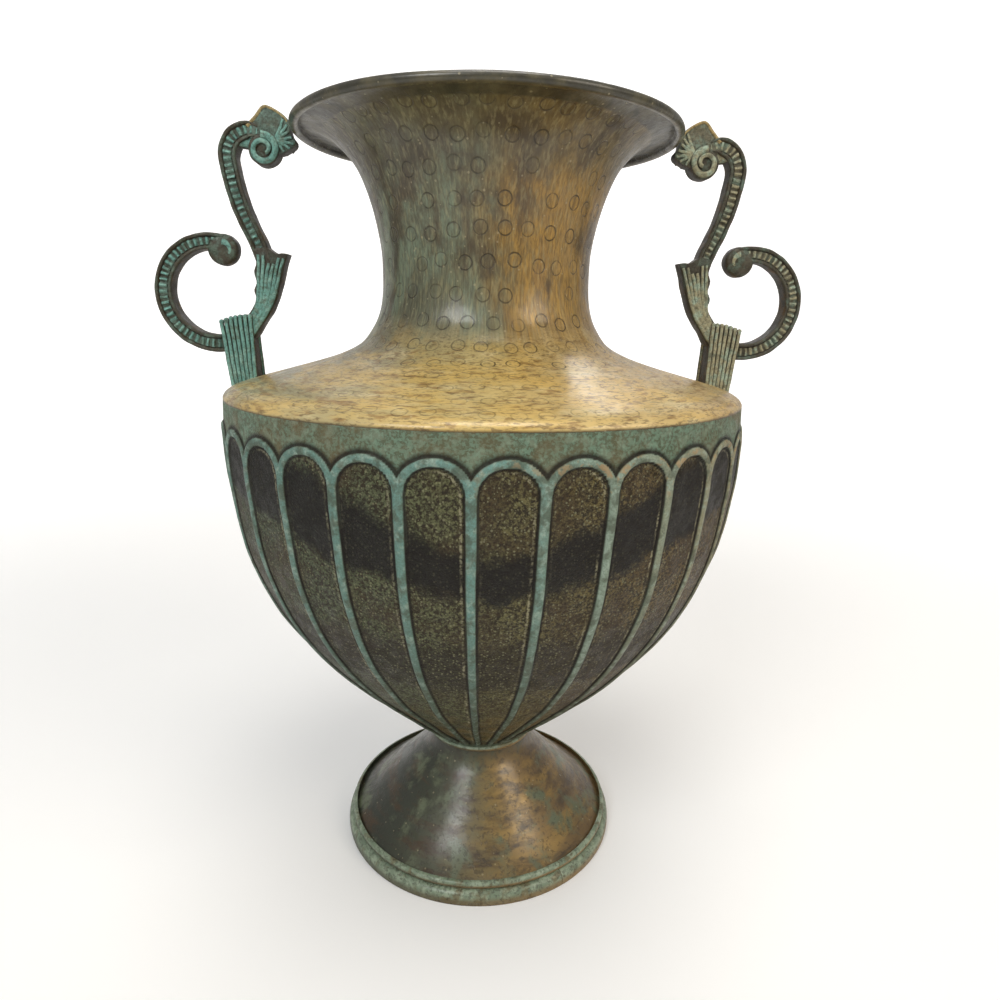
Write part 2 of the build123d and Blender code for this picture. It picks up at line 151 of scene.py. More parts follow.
def smooth_line(places: Sequence[Pair], spacing: float) -> list[Vector]:
    """An even line that runs smoothly through places of the XZ plane.

    Args:
        places: (x, z) pairs in millimetres.
        spacing: wanted length of a step.

    Returns:
        Points of the line.
    """
    knots = [at(x, z) for x, z in places]
    headings = []
    for index, knot in enumerate(knots):
        before = knots[max(index - 1, 0)]
        after = knots[min(index + 1, len(knots) - 1)]
        headings.append((after - before) / ((after - knot).length + (knot - before).length))
    dense = []
    for index, (start, end) in enumerate(zip(knots, knots[1:])):
        reach = (end - start).length / 3.0
        first = start + headings[index] * reach
        last = end - headings[index + 1] * reach
        dense += interpolate_bezier(start, first, last, end, CURVE_STEPS)[:-1]
    return even([*dense, knots[-1]], spacing)


def arc_line(centre: Pair, radius: float, start: float, end: float, spacing: float) -> list[Vector]:
    """An even line along a circle of the XZ plane.

    Args:
        centre: (x, z) of the circle's centre.
        radius: its radius.
        start: first angle in degrees, anticlockwise from +X.
        end: last angle in degrees.
        spacing: wanted length of a step.

    Returns:
        Points of the arc.
    """
    count = max(2, round(math.radians(abs(end - start)) * radius / spacing))
    angles = [math.radians(start + (end - start) * step / count) for step in range(count + 1)]
    return [at(centre[0] + radius * math.cos(a), centre[1] + radius * math.sin(a)) for a in angles]


def inset_line(line: Sequence[Vector], depth: float) -> list[Vector]:
    """The line moved to its left, which is inside the vase for a line that climbs.

    Args:
        line: points in the XZ plane.
        depth: distance moved.

    Returns:
        As many points as the line has.
    """
    moved = []
    for index, point in enumerate(line):
        along = line[min(index + 1, len(line) - 1)] - line[max(index - 1, 0)]
        moved.append(point + at(-along.z, along.x).normalized() * depth)
    return moved


def between(start: Pair, end: Pair, across: float, up: float) -> Pair:
    """The place at a share of the way from start to end across, and at another share of it up."""
    return (start[0] + across * (end[0] - start[0]), start[1] + up * (end[1] - start[1]))


def dome(place: float, fullness: float = 0.6) -> float:
    """Height of a rounded ridge at a place from -1 to 1 across it, 1 at its middle."""
    return (1.0 - place * place) ** fullness if abs(place) < 1.0 else 0.0


def uneven(point: Vector, size: float, seed: float = 0.0) -> float:
    """Smooth unevenness from about -1 to 1 at a point, with lumps of one size in millimetres."""
    return noise.noise(point / size + Vector((seed, 0.0, 0.0)))


class Workpiece:
    """A mesh on the bench, in millimetres, shaped by bmesh operators."""

    def __init__(self, name: str, layers: Sequence[str] = ()) -> None:
        """Starts an empty mesh with float layers of the names given."""
        self.name = name
        self.bm = bmesh.new()
        for layer in layers:
            self.bm.verts.layers.float.new(layer)

    def layer(self, name: str) -> bmesh.types.BMLayerItem:
        """The float layer of that name."""
        return self.bm.verts.layers.float[name]

    def loop(self, points: Sequence[Vector]) -> list[BMEdge]:
        """Lays a closed chain of edges.

        Args:
            points: corners of the chain.

        Returns:
            Its edges, in order.
        """
        verts = [self.bm.verts.new(point) for point in points]
        return [self.bm.edges.new(pair) for pair in zip(verts, verts[1:] + verts[:1])]

    def spin(self, edges: Sequence[BMEdge], steps: int, turn: float = FULL_TURN) -> None:
        """Spins a closed chain about the vase's axis into a closed shell.

        Args:
            edges: the chain.
            steps: steps round the axis.
            turn: degrees to turn; less than a full turn leaves two flat ends.
        """
        verts = list({vert for edge in edges for vert in edge.verts})
        geometry = [*verts, *edges]
        if turn < FULL_TURN:
            made = bmesh.ops.contextual_create(self.bm, geom=geometry)
            geometry += made["faces"]
        bmesh.ops.spin(
            self.bm,
            geom=geometry,
            cent=(0.0, 0.0, 0.0),
            axis=(0.0, 0.0, 1.0),
            dvec=(0.0, 0.0, 0.0),
            angle=math.radians(turn),
            steps=steps,
            use_merge=turn >= FULL_TURN,
        )

    def sweep(self, path: Sequence[Vector], section: Callable[[float], Ring]) -> None:
        """Draws a closed section along a path in a plane square to Y, with a flat face at either end.

        Args:
            path: points of the path.
            section: gives the outline (across, deep, relief) at a share of the path's stations.
        """
        relief = self.layer("relief")
        ring: list[BMVert] = []
        edges: list[BMEdge] = []
        for index, point in enumerate(path):
            along = (path[min(index + 1, len(path) - 1)] - path[max(index - 1, 0)]).normalized()
            left = at(-along.z, along.x)
            outline = section(index / (len(path) - 1))
            places = [point + left * across + Vector((0.0, deep, 0.0)) for across, deep, _ in outline]
            if index == 0:
                edges = self.loop(places)
                ring = [edge.verts[0] for edge in edges]
                bmesh.ops.contextual_create(self.bm, geom=edges)
            else:
                made = bmesh.ops.extrude_edge_only(self.bm, edges=edges)["geom"]
                fresh = {item for item in made if isinstance(item, BMVert)}
                edges = [e for e in made if isinstance(e, BMEdge) and set(e.verts) <= fresh]
                ring = [next(e.other_vert(v) for e in v.link_edges if e.other_vert(v) in fresh) for v in ring]
                for vert, place in zip(ring, places):
                    vert.co = place
            for vert, (_, _, height) in zip(ring, outline):
                vert[relief] = height
        bmesh.ops.contextual_create(self.bm, geom=edges)

    def bead(self, place: Vector, radius: float) -> None:
        """Sets a small round bead, at the full relief."""
        verts = bmesh.ops.create_uvsphere(self.bm, u_segments=12, v_segments=8, radius=radius)["verts"]
        bmesh.ops.translate(self.bm, vec=place, verts=verts)
        for vert in verts:
            vert[self.layer("relief")] = 1.0

    def roughen(self, amount: float, size: float) -> None:
        """Moves every point a little, as a sand casting or hand-worked sheet is uneven."""
        for vert in self.bm.verts:
            if vert.co.z > FLAT_ZONE:
                vert.co += noise.noise_vector(vert.co / size) * amount

    def finish(self, material: Material, node: str) -> Item:
        """Closes the bench work: a mesh object in metres, riding on the body.

        Args:
            material: its finish.
            node: name of the CAD node that the piece stands for.

        Returns:
            The finished object.
        """
        bm = self.bm
        bmesh.ops.recalc_face_normals(bm, faces=bm.faces)
        bmesh.ops.transform(bm, matrix=Matrix.Scale(METRES_PER_MM, 4), verts=bm.verts)
        open_edges = sum(1 for edge in bm.edges if not edge.is_manifold)
        triangles = sum(len(face.verts) - 2 for face in bm.faces)
        mesh = bpy.data.meshes.new(self.name)
        bm.to_mesh(mesh)
        bm.free()
        mesh.shade_smooth()
        mesh.set_sharp_from_angle(angle=math.radians(SHARP_ANGLE))
        mesh.materials.append(material)
        piece = bpy.data.objects.new(self.name, mesh)
        bpy.context.scene.collection.objects.link(piece)
        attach(piece, BODY)
        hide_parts(node)
        LOG.info("%s: %d triangles, %d open edges, for %s", self.name, triangles, open_edges, node)
        return piece


class NodeBench:
    """Puts nodes in one tree and links them."""

    def __init__(self, tree: Tree) -> None:
        """Works on the tree given."""
        self.tree = tree

    def put(self, kind: str, **settings: object) -> Node:
        """A new shader node of a kind, with its settings."""
        node = self.tree.nodes.new("ShaderNode" + kind)
        for name, value in settings.items():
            setattr(node, name, value)
        return node

    def feed(self, socket: Socket, value: Feed) -> None:
        """Links a socket to an input, or writes a value on it."""
        if isinstance(value, Socket):
            self.tree.links.new(value, socket)
        else:
            socket.default_value = value

    def math(self, operation: str, first: Feed, second: Feed = 0.0) -> Socket:
        """The result of a Math node."""
        node = self.put("Math", operation=operation)
        self.feed(node.inputs[0], first)
        self.feed(node.inputs[1], second)
        return node.outputs[0]

    def times(self, first: Feed, second: Feed) -> Socket:
        """The product of two values."""
        return self.math("MULTIPLY", first, second)

    def step(self, value: Feed, low: Feed, high: Feed, start: float = 0.0, end: float = 1.0) -> Socket:
        """A soft step of a value from start at low to end at high."""
        node = self.put("MapRange", interpolation_type="SMOOTHSTEP")
        for socket, fed in zip(node.inputs, (value, low, high, start, end)):
            self.feed(socket, fed)
        return node.outputs[0]

    def mix(self, factor: Feed, first: Feed, second: Feed) -> Socket:
        """Two colours mixed by a factor."""
        node = self.put("Mix", data_type="RGBA")
        self.feed(node.inputs["Factor"], factor)
        self.feed(node.inputs[6], first)
        self.feed(node.inputs[7], second)
        return node.outputs[2]

    def lay(self, ground: Feed, colour: Feed, mask: Feed, share: float = 1.0) -> Socket:
        """A colour laid over a ground where a mask is, at a share of its strength."""
        factor = self.times(mask, share) if share != 1.0 else mask
        return self.mix(factor, ground, colour)

    def ramp(self, factor: Feed, stops: Sequence[Stop]) -> Socket:
        """A colour ramp's result.

        Args:
            factor: place on the ramp.
            stops: (place, red, green, blue) in order, the colours as tone() takes them.

        Returns:
            The ramp's colour.
        """
        node = self.put("ValToRGB")
        elements = node.color_ramp.elements
        while len(elements) < len(stops):
            elements.new(0.5)
        for element, (place, *parts) in zip(elements, stops):
            element.position = place
            element.color = tone(*parts)
        self.feed(node.inputs[0], factor)
        return node.outputs[0]

    def split(self, vector: Feed) -> list[Socket]:
        """The three parts of a vector."""
        node = self.put("SeparateXYZ")
        self.feed(node.inputs[0], vector)
        return list(node.outputs)

    def layer(self, name: str) -> Socket:
        """The value of a mesh's float layer."""
        return self.put("Attribute", attribute_name=name).outputs["Fac"]

    def place(self) -> Socket:
        """The object coordinates."""
        return self.put("TexCoord").outputs["Object"]

    def group(self, tree: Tree, **inputs: Feed) -> Socket:
        """The first output of a shared effect, its inputs fed by name."""
        node = self.put("Group", node_tree=tree)
        for name, value in inputs.items():
            self.feed(node.inputs[name], value)
        return node.outputs[0]


class Effects:
    """Node groups that several finishes share, each made once."""

    def __init__(self) -> None:
        """Makes the groups."""
        self.blotches = self._blotches()
        self.specks = self._specks()
        self.around = self._around()

    def clouds(self, bench: NodeBench) -> Callable[..., Socket]:
        """A maker of cloudy masks on a bench.

        Args:
            bench: bench of the tree that the masks are for.

        Returns:
            Gives a mask for a place, the lumps' size in millimetres, the level of the cut, its softness
            and a seed.
        """

        def cloud(place: Feed, size: float, level: float, soft: float, seed: float = 0.0) -> Socket:
            """One cloudy mask."""
            return bench.group(self.blotches, Place=place, Size=size, Level=level, Soft=soft, Seed=seed)

        return cloud

    def sideways(self, bench: NodeBench, place: Feed) -> tuple[Socket, Socket]:
        """How far a place is turned to the right, from -1 to 1, and the same from 0 to 1."""
        side = bench.split(bench.group(self.around, Place=place, Turn=1.0, Rise=0.0))[0]
        return side, bench.step(side, -1.0, 1.0)

    def _start(self, name: str, values: dict[str, float], output: str) -> tuple[NodeBench, dict, Node]:
        """Starts a group with a Place input and named numbers.

        Args:
            name: the group's name.
            values: names and defaults of the number inputs.
            output: kind of the output socket.

        Returns:
            The group's bench, its input sockets by name and its output node.
        """
        tree = bpy.data.node_groups.new(name, "ShaderNodeTree")
        tree.interface.new_socket("Place", in_out="INPUT", socket_type="NodeSocketVector")
        for label, default in values.items():
            socket = tree.interface.new_socket(label, in_out="INPUT", socket_type="NodeSocketFloat")
            socket.default_value = default
        tree.interface.new_socket("Result", in_out="OUTPUT", socket_type=output)
        entry = tree.nodes.new("NodeGroupInput")
        sockets = {socket.name: socket for socket in entry.outputs if socket.name}
        return NodeBench(tree), sockets, tree.nodes.new("NodeGroupOutput")

    def _blotches(self) -> Tree:
        """Cloudy patches: a mask from noise whose lumps are Size millimetres, cut at a Level."""
        values = {"Size": 10.0, "Level": 0.5, "Soft": 0.06, "Seed": 0.0}
        bench, given, out = self._start("patina_blotches", values, "NodeSocketFloat")
        cloud = bench.put("TexNoise", noise_dimensions="4D")
        bench.feed(cloud.inputs["Vector"], given["Place"])
        bench.feed(cloud.inputs["W"], given["Seed"])
        bench.feed(cloud.inputs["Scale"], bench.math("DIVIDE", MM_PER_METRE, given["Size"]))
        cloud.inputs["Detail"].default_value = 6.0
        cloud.inputs["Roughness"].default_value = 0.62
        cloud.inputs["Distortion"].default_value = 0.35
        low = bench.math("SUBTRACT", given["Level"], given["Soft"])
        high = bench.math("ADD", given["Level"], given["Soft"])
        bench.feed(out.inputs[0], bench.step(cloud.outputs[0], low, high))
        return bench.tree

    def _specks(self) -> Tree:
        """Scattered round specks a Size apart, filling a Share of their cells' width."""
        bench, given, out = self._start("patina_specks", {"Size": 3.0, "Share": 0.3}, "NodeSocketFloat")
        cells = bench.put("TexVoronoi")
        bench.feed(cells.inputs["Vector"], given["Place"])
        bench.feed(cells.inputs["Scale"], bench.math("DIVIDE", MM_PER_METRE, given["Size"]))
        chance = bench.split(cells.outputs["Color"])[0]
        size = bench.times(given["Share"], chance)
        inner = bench.times(size, 0.55)
        bench.feed(out.inputs[0], bench.step(cells.outputs["Distance"], inner, size, 1.0, 0.0))
        return bench.tree

    def _around(self) -> Tree:
        """Places bent round the axis, so that a pattern can be drawn out round it (low Turn) or along it."""
        bench, given, out = self._start(
            "around_the_axis", {"Turn": 0.1, "Rise": 1.0, "Lean": 1.0}, "NodeSocketVector"
        )
        x, y, z = bench.split(given["Place"])
        squares = bench.math("ADD", bench.math("POWER", x, 2.0), bench.math("POWER", y, 2.0))
        radius = bench.math("SQRT", squares)
        safe = bench.math("MAXIMUM", radius, METRES_PER_MM)
        joined = bench.put("CombineXYZ")
        bench.feed(joined.inputs[0], bench.times(bench.math("DIVIDE", x, safe), given["Turn"]))
        bench.feed(joined.inputs[1], bench.times(bench.math("DIVIDE", y, safe), given["Turn"]))
        slope = bench.math("ADD", radius, bench.times(z, given["Lean"]))
        bench.feed(joined.inputs[2], bench.times(slope, given["Rise"]))
        bench.feed(out.inputs[0], joined.outputs[0])
        return bench.tree


@dataclass(frozen=True)
class Finish:
    """A surface finish; each kind paints its colour and gives roughness, metal and bump."""

    name: str
    roughness: float = 0.45
    roughness_spread: float = 0.12
    coat: float = 0.0
    coat_roughness: float = 0.15
    specular: float = 0.5
    bump: float = 0.0003

    def material(self, effects: Effects) -> Material:
        """Builds the material.

        Args:
            effects: the shared groups.

        Returns:
            A node material.
        """
        made = bpy.data.materials.new(self.name)
        made.use_nodes = True
        made.node_tree.nodes.clear()
        bench = NodeBench(made.node_tree)
        shader = bench.put("BsdfPrincipled")
        out = bench.put("OutputMaterial")
        bench.feed(out.inputs["Surface"], shader.outputs[0])
        colour, metal, height = self.paint(bench, effects)
        bench.feed(shader.inputs["Base Color"], colour)
        bench.feed(shader.inputs["Metallic"], metal)
        patches = effects.clouds(bench)(bench.place(), 9.0, 0.5, 0.2, 7.0)
        low, high = self.roughness - self.roughness_spread, self.roughness + self.roughness_spread
        rough = bench.step(patches, 0.0, 1.0, low, high)
        bench.feed(shader.inputs["Roughness"], rough)
        shader.inputs["Specular IOR Level"].default_value = self.specular
        shader.inputs["Coat Weight"].default_value = self.coat
        shader.inputs["Coat Roughness"].default_value = self.coat_roughness
        bump = bench.put("Bump")
        bump.inputs["Distance"].default_value = self.bump
        bench.feed(bump.inputs["Height"], height)
        bench.feed(shader.inputs["Normal"], bump.outputs[0])
        return made

    def paint(self, bench: NodeBench, effects: Effects) -> tuple[Feed, Feed, Feed]:
        """Colour, metal and height over the surface; every finish has its own."""
        raise NotImplementedError

    def bare_inside(self, bench: NodeBench, colour: Feed, grain: Feed) -> Socket:
        """The colour on the outer skin, and dull brown inside the vase."""
        return bench.mix(bench.layer("skin"), bench.mix(grain, tone(84, 68, 42), tone(58, 48, 32)), colour)


@dataclass(frozen=True)
class LacqueredNeck(Finish):
    """Spun sheet with streaky umber, gold and grey-green patina, punched rings and a gloss lacquer; darker
    and greener to the left and golder to the right, which is painted shade and painted warm light.
    """

    ring_radius: float = 3.7
    ring_line: float = 0.55
    root_height: float = 0.336
    lip_height: float = 0.4515

    def paint(self, bench: NodeBench, effects: Effects) -> tuple[Feed, Feed, Feed]:
        """Colour, metal and height of neck and shoulder."""
        place = bench.place()
        cloud = effects.clouds(bench)
        side, across = effects.sideways(bench, place)
        fall = bench.group(effects.around, Place=place, Turn=0.062, Rise=0.45)
        fibre = bench.group(effects.around, Place=place, Turn=0.085, Rise=0.24)
        swirl = bench.group(effects.around, Place=place, Turn=0.055, Rise=1.0, Lean=-1.0)
        height = bench.split(place)[2]
        # Colours are laid out across the view: dark and grey-green towards the left is painted shade, ochre
        # and gold towards the right is painted warm light, over the patina.
        drift = bench.math("ADD", side, bench.times(cloud(fall, 34.0, 0.5, 0.25, 13.0), 0.6))
        left = bench.step(drift, -0.2, 1.0, 1.0, 0.0)
        right = bench.step(drift, 0.0, 1.0)
        neck = bench.ramp(across, (
            (0.0, 58, 52, 38), (0.07, 92, 94, 72), (0.28, 112, 114, 84), (0.5, 106, 90, 52),
            (0.8, 158, 122, 56), (0.97, 176, 144, 82), (1.0, 120, 96, 60),
        ))
        neck = bench.lay(neck, tone(120, 134, 110), bench.times(cloud(fall, 15.0, 0.49, 0.09, 3.0), left))
        ochre = bench.times(cloud(fall, 11.0, 0.5, 0.07, 5.0), right)
        neck = bench.lay(neck, tone(188, 148, 70), ochre, 0.8)
        umber = cloud(fall, 21.0, 0.55, 0.07)
        neck = bench.lay(neck, tone(76, 58, 34), umber, 0.8)
        # The shoulder's pale gold, brightest from the middle to the right, is painted warm light and a
        # painted highlight over the patina.
        shoulder = bench.ramp(across, (
            (0.0, 142, 134, 102), (0.12, 172, 158, 114), (0.5, 202, 178, 116), (0.9, 208, 180, 120),
            (1.0, 180, 152, 102),
        ))
        shoulder = bench.lay(shoulder, tone(224, 208, 160), cloud(swirl, 14.0, 0.57, 0.08, 9.0), 0.6)
        shoulder = bench.lay(shoulder, tone(216, 178, 92), cloud(swirl, 26.0, 0.52, 0.08, 14.0), 0.6)
        shoulder = bench.lay(shoulder, tone(140, 106, 56), cloud(swirl, 5.0, 0.57, 0.06, 1.0), 0.75)
        shoulder = bench.lay(shoulder, tone(90, 70, 40), cloud(swirl, 1.5, 0.56, 0.06, 2.0), 0.6)
        level = bench.math("ADD", height, bench.times(cloud(place, 40.0, 0.5, 0.3, 4.0), 0.018))
        upper = bench.step(level, self.root_height, self.root_height + 0.03)
        flare = bench.step(level, 0.418, 0.452)
        veil = bench.mix(umber, tone(94, 86, 58), tone(62, 52, 34))
        neck = bench.lay(neck, veil, flare, 0.8)
        fine = cloud(fibre, 1.5, 0.5, 0.12, 6.0)
        neck = bench.lay(neck, tone(58, 48, 30), fine, 0.5)
        neck = bench.lay(neck, tone(176, 166, 120), cloud(fibre, 2.0, 0.56, 0.08, 12.0), 0.28)
        colour = bench.mix(upper, shoulder, neck)
        ring = bench.math("ABSOLUTE", bench.math("SUBTRACT", bench.layer("punch"), self.ring_radius))
        line = bench.step(ring, self.ring_line * 0.25, self.ring_line, 1.0, 0.0)
        broken = cloud(place, 5.0, 0.42, 0.16, 10.0)
        line = bench.times(line, bench.times(broken, bench.layer("force")))
        colour = bench.lay(colour, tone(46, 37, 23), line, 0.85)
        lip = bench.step(height, self.lip_height, self.lip_height + 0.0008)
        rubbed = cloud(place, 12.0, 0.52, 0.12, 8.0)
        edge = bench.mix(rubbed, tone(50, 47, 33), tone(84, 78, 54))
        colour = bench.mix(bench.times(lip, bench.layer("skin")), colour, edge)
        colour = self.bare_inside(bench, colour, fine)
        specks = bench.group(effects.specks, Place=place, Size=4.0, Share=0.22)
        colour = bench.lay(colour, tone(196, 184, 146), specks, 0.35)
        metal = bench.times(ochre, 0.35)
        relief = bench.math("SUBTRACT", bench.times(fine, 0.15), line)
        return colour, metal, relief


@dataclass(frozen=True)
class LacqueredFoot(Finish):
    """Spun foot, green-black to olive and gold under a gloss lacquer; the green-black left is painted shade,
    the olive and gold to the right a painted highlight and painted warm light, and the top a painted shadow
    under the collar.
    """

    def paint(self, bench: NodeBench, effects: Effects) -> tuple[Feed, Feed, Feed]:
        """Colour, metal and height of the foot's dome."""
        place = bench.place()
        cloud = effects.clouds(bench)
        side, across = effects.sideways(bench, place)
        swirl = bench.group(effects.around, Place=place, Turn=0.032, Rise=1.0, Lean=-1.0)
        # Green-black on the left to olive and gold on the right: patina with painted shade on the left and a
        # painted highlight and warm light to the right.
        colour = bench.ramp(across, (
            (0.0, 46, 50, 38), (0.25, 80, 82, 58), (0.5, 118, 102, 60), (0.78, 146, 116, 60),
            (1.0, 104, 82, 48),
        ))
        colour = bench.lay(colour, tone(70, 54, 32), cloud(swirl, 14.0, 0.54, 0.08, 1.0))
        # Gold patches, kept towards the right, are painted warm light over the patina.
        gold = bench.times(cloud(swirl, 16.0, 0.55, 0.12, 2.0), bench.step(side, -0.6, 0.5))
        colour = bench.lay(colour, tone(168, 138, 78), gold, 0.7)
        colour = bench.lay(colour, tone(98, 106, 80), cloud(place, 18.0, 0.58, 0.08, 3.0))
        fine = cloud(place, 2.4, 0.57, 0.05, 4.0)
        colour = bench.lay(colour, tone(48, 40, 26), fine, 0.5)
        # Painted shadow: the top of the foot is darkened under the collar.
        neck = bench.step(bench.split(place)[2], 0.054, 0.069)
        colour = bench.lay(colour, tone(44, 42, 30), neck, 0.7)
        specks = bench.group(effects.specks, Place=place, Size=4.5, Share=0.2)
        colour = bench.lay(colour, tone(182, 170, 132), specks, 0.4)
        return colour, bench.times(gold, 0.4), bench.times(fine, 0.3)


@dataclass(frozen=True)
class FlutedPatina(Finish):
    """Stippled dark panels between pale turquoise ribs, with dirt and painted shade in the creases along the
    ribs and above the arches; panels and ribs cooler to the left and warmer to the right as painted light.
    """

    dark_low: float = 0.226
    dark_high: float = 0.249
    brown_low: float = 0.170
    brown_high: float = 0.205

    def zone(self, bench: NodeBench, height: Feed, low: Feed, high: Feed) -> Socket:
        """A soft level zone between two heights in metres."""
        above = bench.step(bench.math("SUBTRACT", height, low), -0.004, 0.004)
        below = bench.step(bench.math("SUBTRACT", height, high), -0.005, 0.006, 1.0, 0.0)
        return bench.times(above, below)

    def paint(self, bench: NodeBench, effects: Effects) -> tuple[Feed, Feed, Feed]:
        """Colour, metal and height of panels, ribs and plain band."""
        place = bench.place()
        cloud = effects.clouds(bench)
        side, across = effects.sideways(bench, place)
        wave = bench.times(cloud(place, 22.0, 0.5, 0.3, 11.0), 0.012)
        height = bench.math("ADD", bench.split(place)[2], wave)
        coarse = cloud(place, 1.7, 0.5, 0.07)
        fine = cloud(place, 0.9, 0.51, 0.06, 1.0)
        # Panels go from grey-green on the left to brown on the right: painted light, cooler to the left and
        # warmer to the right, over the patina.
        panel = bench.ramp(across, (
            (0.0, 88, 100, 76), (0.3, 106, 112, 78), (0.55, 116, 110, 70), (1.0, 122, 98, 60),
        ))
        panel = bench.lay(panel, tone(50, 42, 27), coarse)
        patch = cloud(place, 30.0, 0.55, 0.1, 2.0)
        panel = bench.lay(panel, tone(70, 54, 33), patch, 0.7)
        panel = bench.lay(panel, tone(32, 26, 17), fine, 0.6)
        lift = bench.times(bench.math("POWER", bench.math("ABSOLUTE", side), 1.4), 0.08)
        high = bench.math("ADD", lift, self.dark_high + 0.006)
        low = bench.math("ADD", bench.times(lift, 0.55), self.dark_low + 0.006)
        black = self.zone(bench, height, low, high)
        panel = bench.lay(panel, tone(17, 13, 10), black, 0.93)
        brown = self.zone(bench, height, self.brown_low, self.brown_high)
        panel = bench.lay(panel, tone(36, 27, 16), brown, 0.72)
        low = bench.step(height, 0.10, 0.165, 1.0, 0.0)
        warm = cloud(place, 12.0, 0.52, 0.1, 3.0)
        panel = bench.lay(panel, tone(120, 98, 54), bench.times(low, bench.times(warm, 0.7)))
        specks = bench.group(effects.specks, Place=place, Size=1.5, Share=0.5)
        show = bench.step(black, 0.0, 1.0, 0.6, 0.12)
        panel = bench.lay(panel, tone(146, 144, 108), bench.times(specks, show))
        near = bench.layer("crease")
        seam = bench.times(bench.step(near, 0.05, 0.12), bench.step(near, 0.2, 0.34, 1.0, 0.0))
        seam = bench.times(seam, bench.math("ADD", bench.times(coarse, -0.7), 0.75))
        seam = bench.times(seam, bench.layer("hand"))
        seam = bench.times(seam, bench.step(cloud(place, 16.0, 0.5, 0.12, 15.0), 0.0, 1.0, 0.15, 1.0))
        panel = bench.lay(panel, tone(172, 166, 134), seam)
        # Ribs go from turquoise on the left to warm khaki on the right: painted warm light over the
        # verdigris.
        rib = bench.ramp(across, (
            (0.0, 108, 142, 130), (0.5, 120, 160, 150), (0.8, 146, 160, 140), (1.0, 162, 152, 118),
        ))
        pale = cloud(place, 5.0, 0.55, 0.08, 4.0)
        rib = bench.lay(rib, tone(176, 194, 178), pale, 0.6)
        rib = bench.lay(rib, tone(84, 92, 74), cloud(place, 8.0, 0.54, 0.06, 5.0), 0.7)
        rib = bench.lay(rib, tone(84, 92, 76), fine, 0.3)
        # Scraped brass on the upper ribs, kept to the right side as painted warm light.
        scraped_and_warm_lit = cloud(place, 6.0, 0.55, 0.04, 6.0)
        scraped_and_warm_lit = bench.times(scraped_and_warm_lit, bench.step(bench.split(place)[2], 0.268, 0.282))
        scraped_and_warm_lit = bench.times(scraped_and_warm_lit, bench.step(side, -0.3, 0.4))
        rib = bench.lay(rib, tone(190, 158, 116), scraped_and_warm_lit, 0.7)
        shade = bench.step(height, 0.11, 0.26, 0.9, 0.0)
        shade = bench.times(shade, bench.step(pale, 0.0, 1.0, 1.0, 0.55))
        rib = bench.lay(rib, tone(74, 78, 58), shade)
        band = bench.mix(coarse, tone(116, 142, 120), tone(96, 104, 82))
        band = bench.lay(band, tone(112, 92, 58), patch, 0.75)
        band = bench.lay(band, tone(150, 166, 142), pale, 0.4)
        colour = bench.mix(bench.layer("panel"), band, panel)
        crest = bench.step(bench.layer("relief"), 0.25, 0.75)
        # Dirt and painted shade: dark in the creases beside the ribs and above the arches.
        crease_dirt_and_shade = bench.step(near, 0.22, 0.75)
        crease_dirt_and_shade = bench.times(crease_dirt_and_shade, bench.math("SUBTRACT", 1.0, crest))
        colour = bench.lay(colour, tone(26, 20, 13), crease_dirt_and_shade, 0.9)
        colour = bench.lay(colour, rib, crest)
        colour = self.bare_inside(bench, colour, fine)
        relief = bench.math("ADD", bench.times(coarse, -0.5), bench.times(fine, -0.4))
        return colour, bench.times(scraped_and_warm_lit, 0.5), relief


@dataclass(frozen=True)
class CastVerdigris(Finish):
    """Sand casting, pale verdigris on the high places of its faces and near-black on its sides, the dark
    casting with painted shade; the right handle is painted warmer as warm light.
    """

    def paint(self, bench: NodeBench, effects: Effects) -> tuple[Feed, Feed, Feed]:
        """Colour, metal and height of a handle."""
        place = bench.place()
        cloud = effects.clouds(bench)
        facing = bench.split(bench.put("NewGeometry").outputs["Normal"])
        flat = bench.step(bench.math("ABSOLUTE", facing[1]), 0.25, 0.7)
        # The right handle is painted warmer, khaki instead of turquoise, as warm light over the verdigris.
        side = bench.step(bench.split(place)[0], -0.16, 0.16)
        green = bench.ramp(side, ((0.0, 112, 162, 150), (0.5, 130, 160, 142), (1.0, 162, 156, 124)))
        pale = cloud(place, 6.0, 0.54, 0.08, 1.0)
        green = bench.lay(green, tone(160, 196, 180), pale, 0.5)
        green = bench.lay(green, tone(92, 94, 72), cloud(place, 5.0, 0.57, 0.06, 2.0), 0.6)
        gold = cloud(place, 8.0, 0.58, 0.06, 3.0)
        # Colour of the sides: the dark casting with painted shade.
        dark = bench.mix(bench.times(pale, 0.35), tone(50, 45, 37), tone(86, 90, 76))
        dark = bench.lay(dark, tone(120, 92, 54), gold, 0.6)
        lift = bench.layer("relief")
        border = bench.mix(bench.times(pale, 0.6), tone(72, 66, 50), tone(98, 122, 106))
        colour = bench.mix(bench.step(lift, 0.0, 0.3), tone(38, 34, 26), border)
        colour = bench.mix(bench.step(lift, 0.34, 0.85), colour, green)
        rub = bench.step(lift, 1.05, 1.5)
        colour = bench.lay(colour, tone(172, 146, 90), rub)
        colour = bench.mix(bench.math("MAXIMUM", flat, rub), dark, colour)
        fine = cloud(place, 1.2, 0.54, 0.07, 4.0)
        colour = bench.lay(colour, tone(44, 38, 28), fine, 0.4)
        return colour, bench.times(gold, 0.4), bench.times(fine, -0.8)


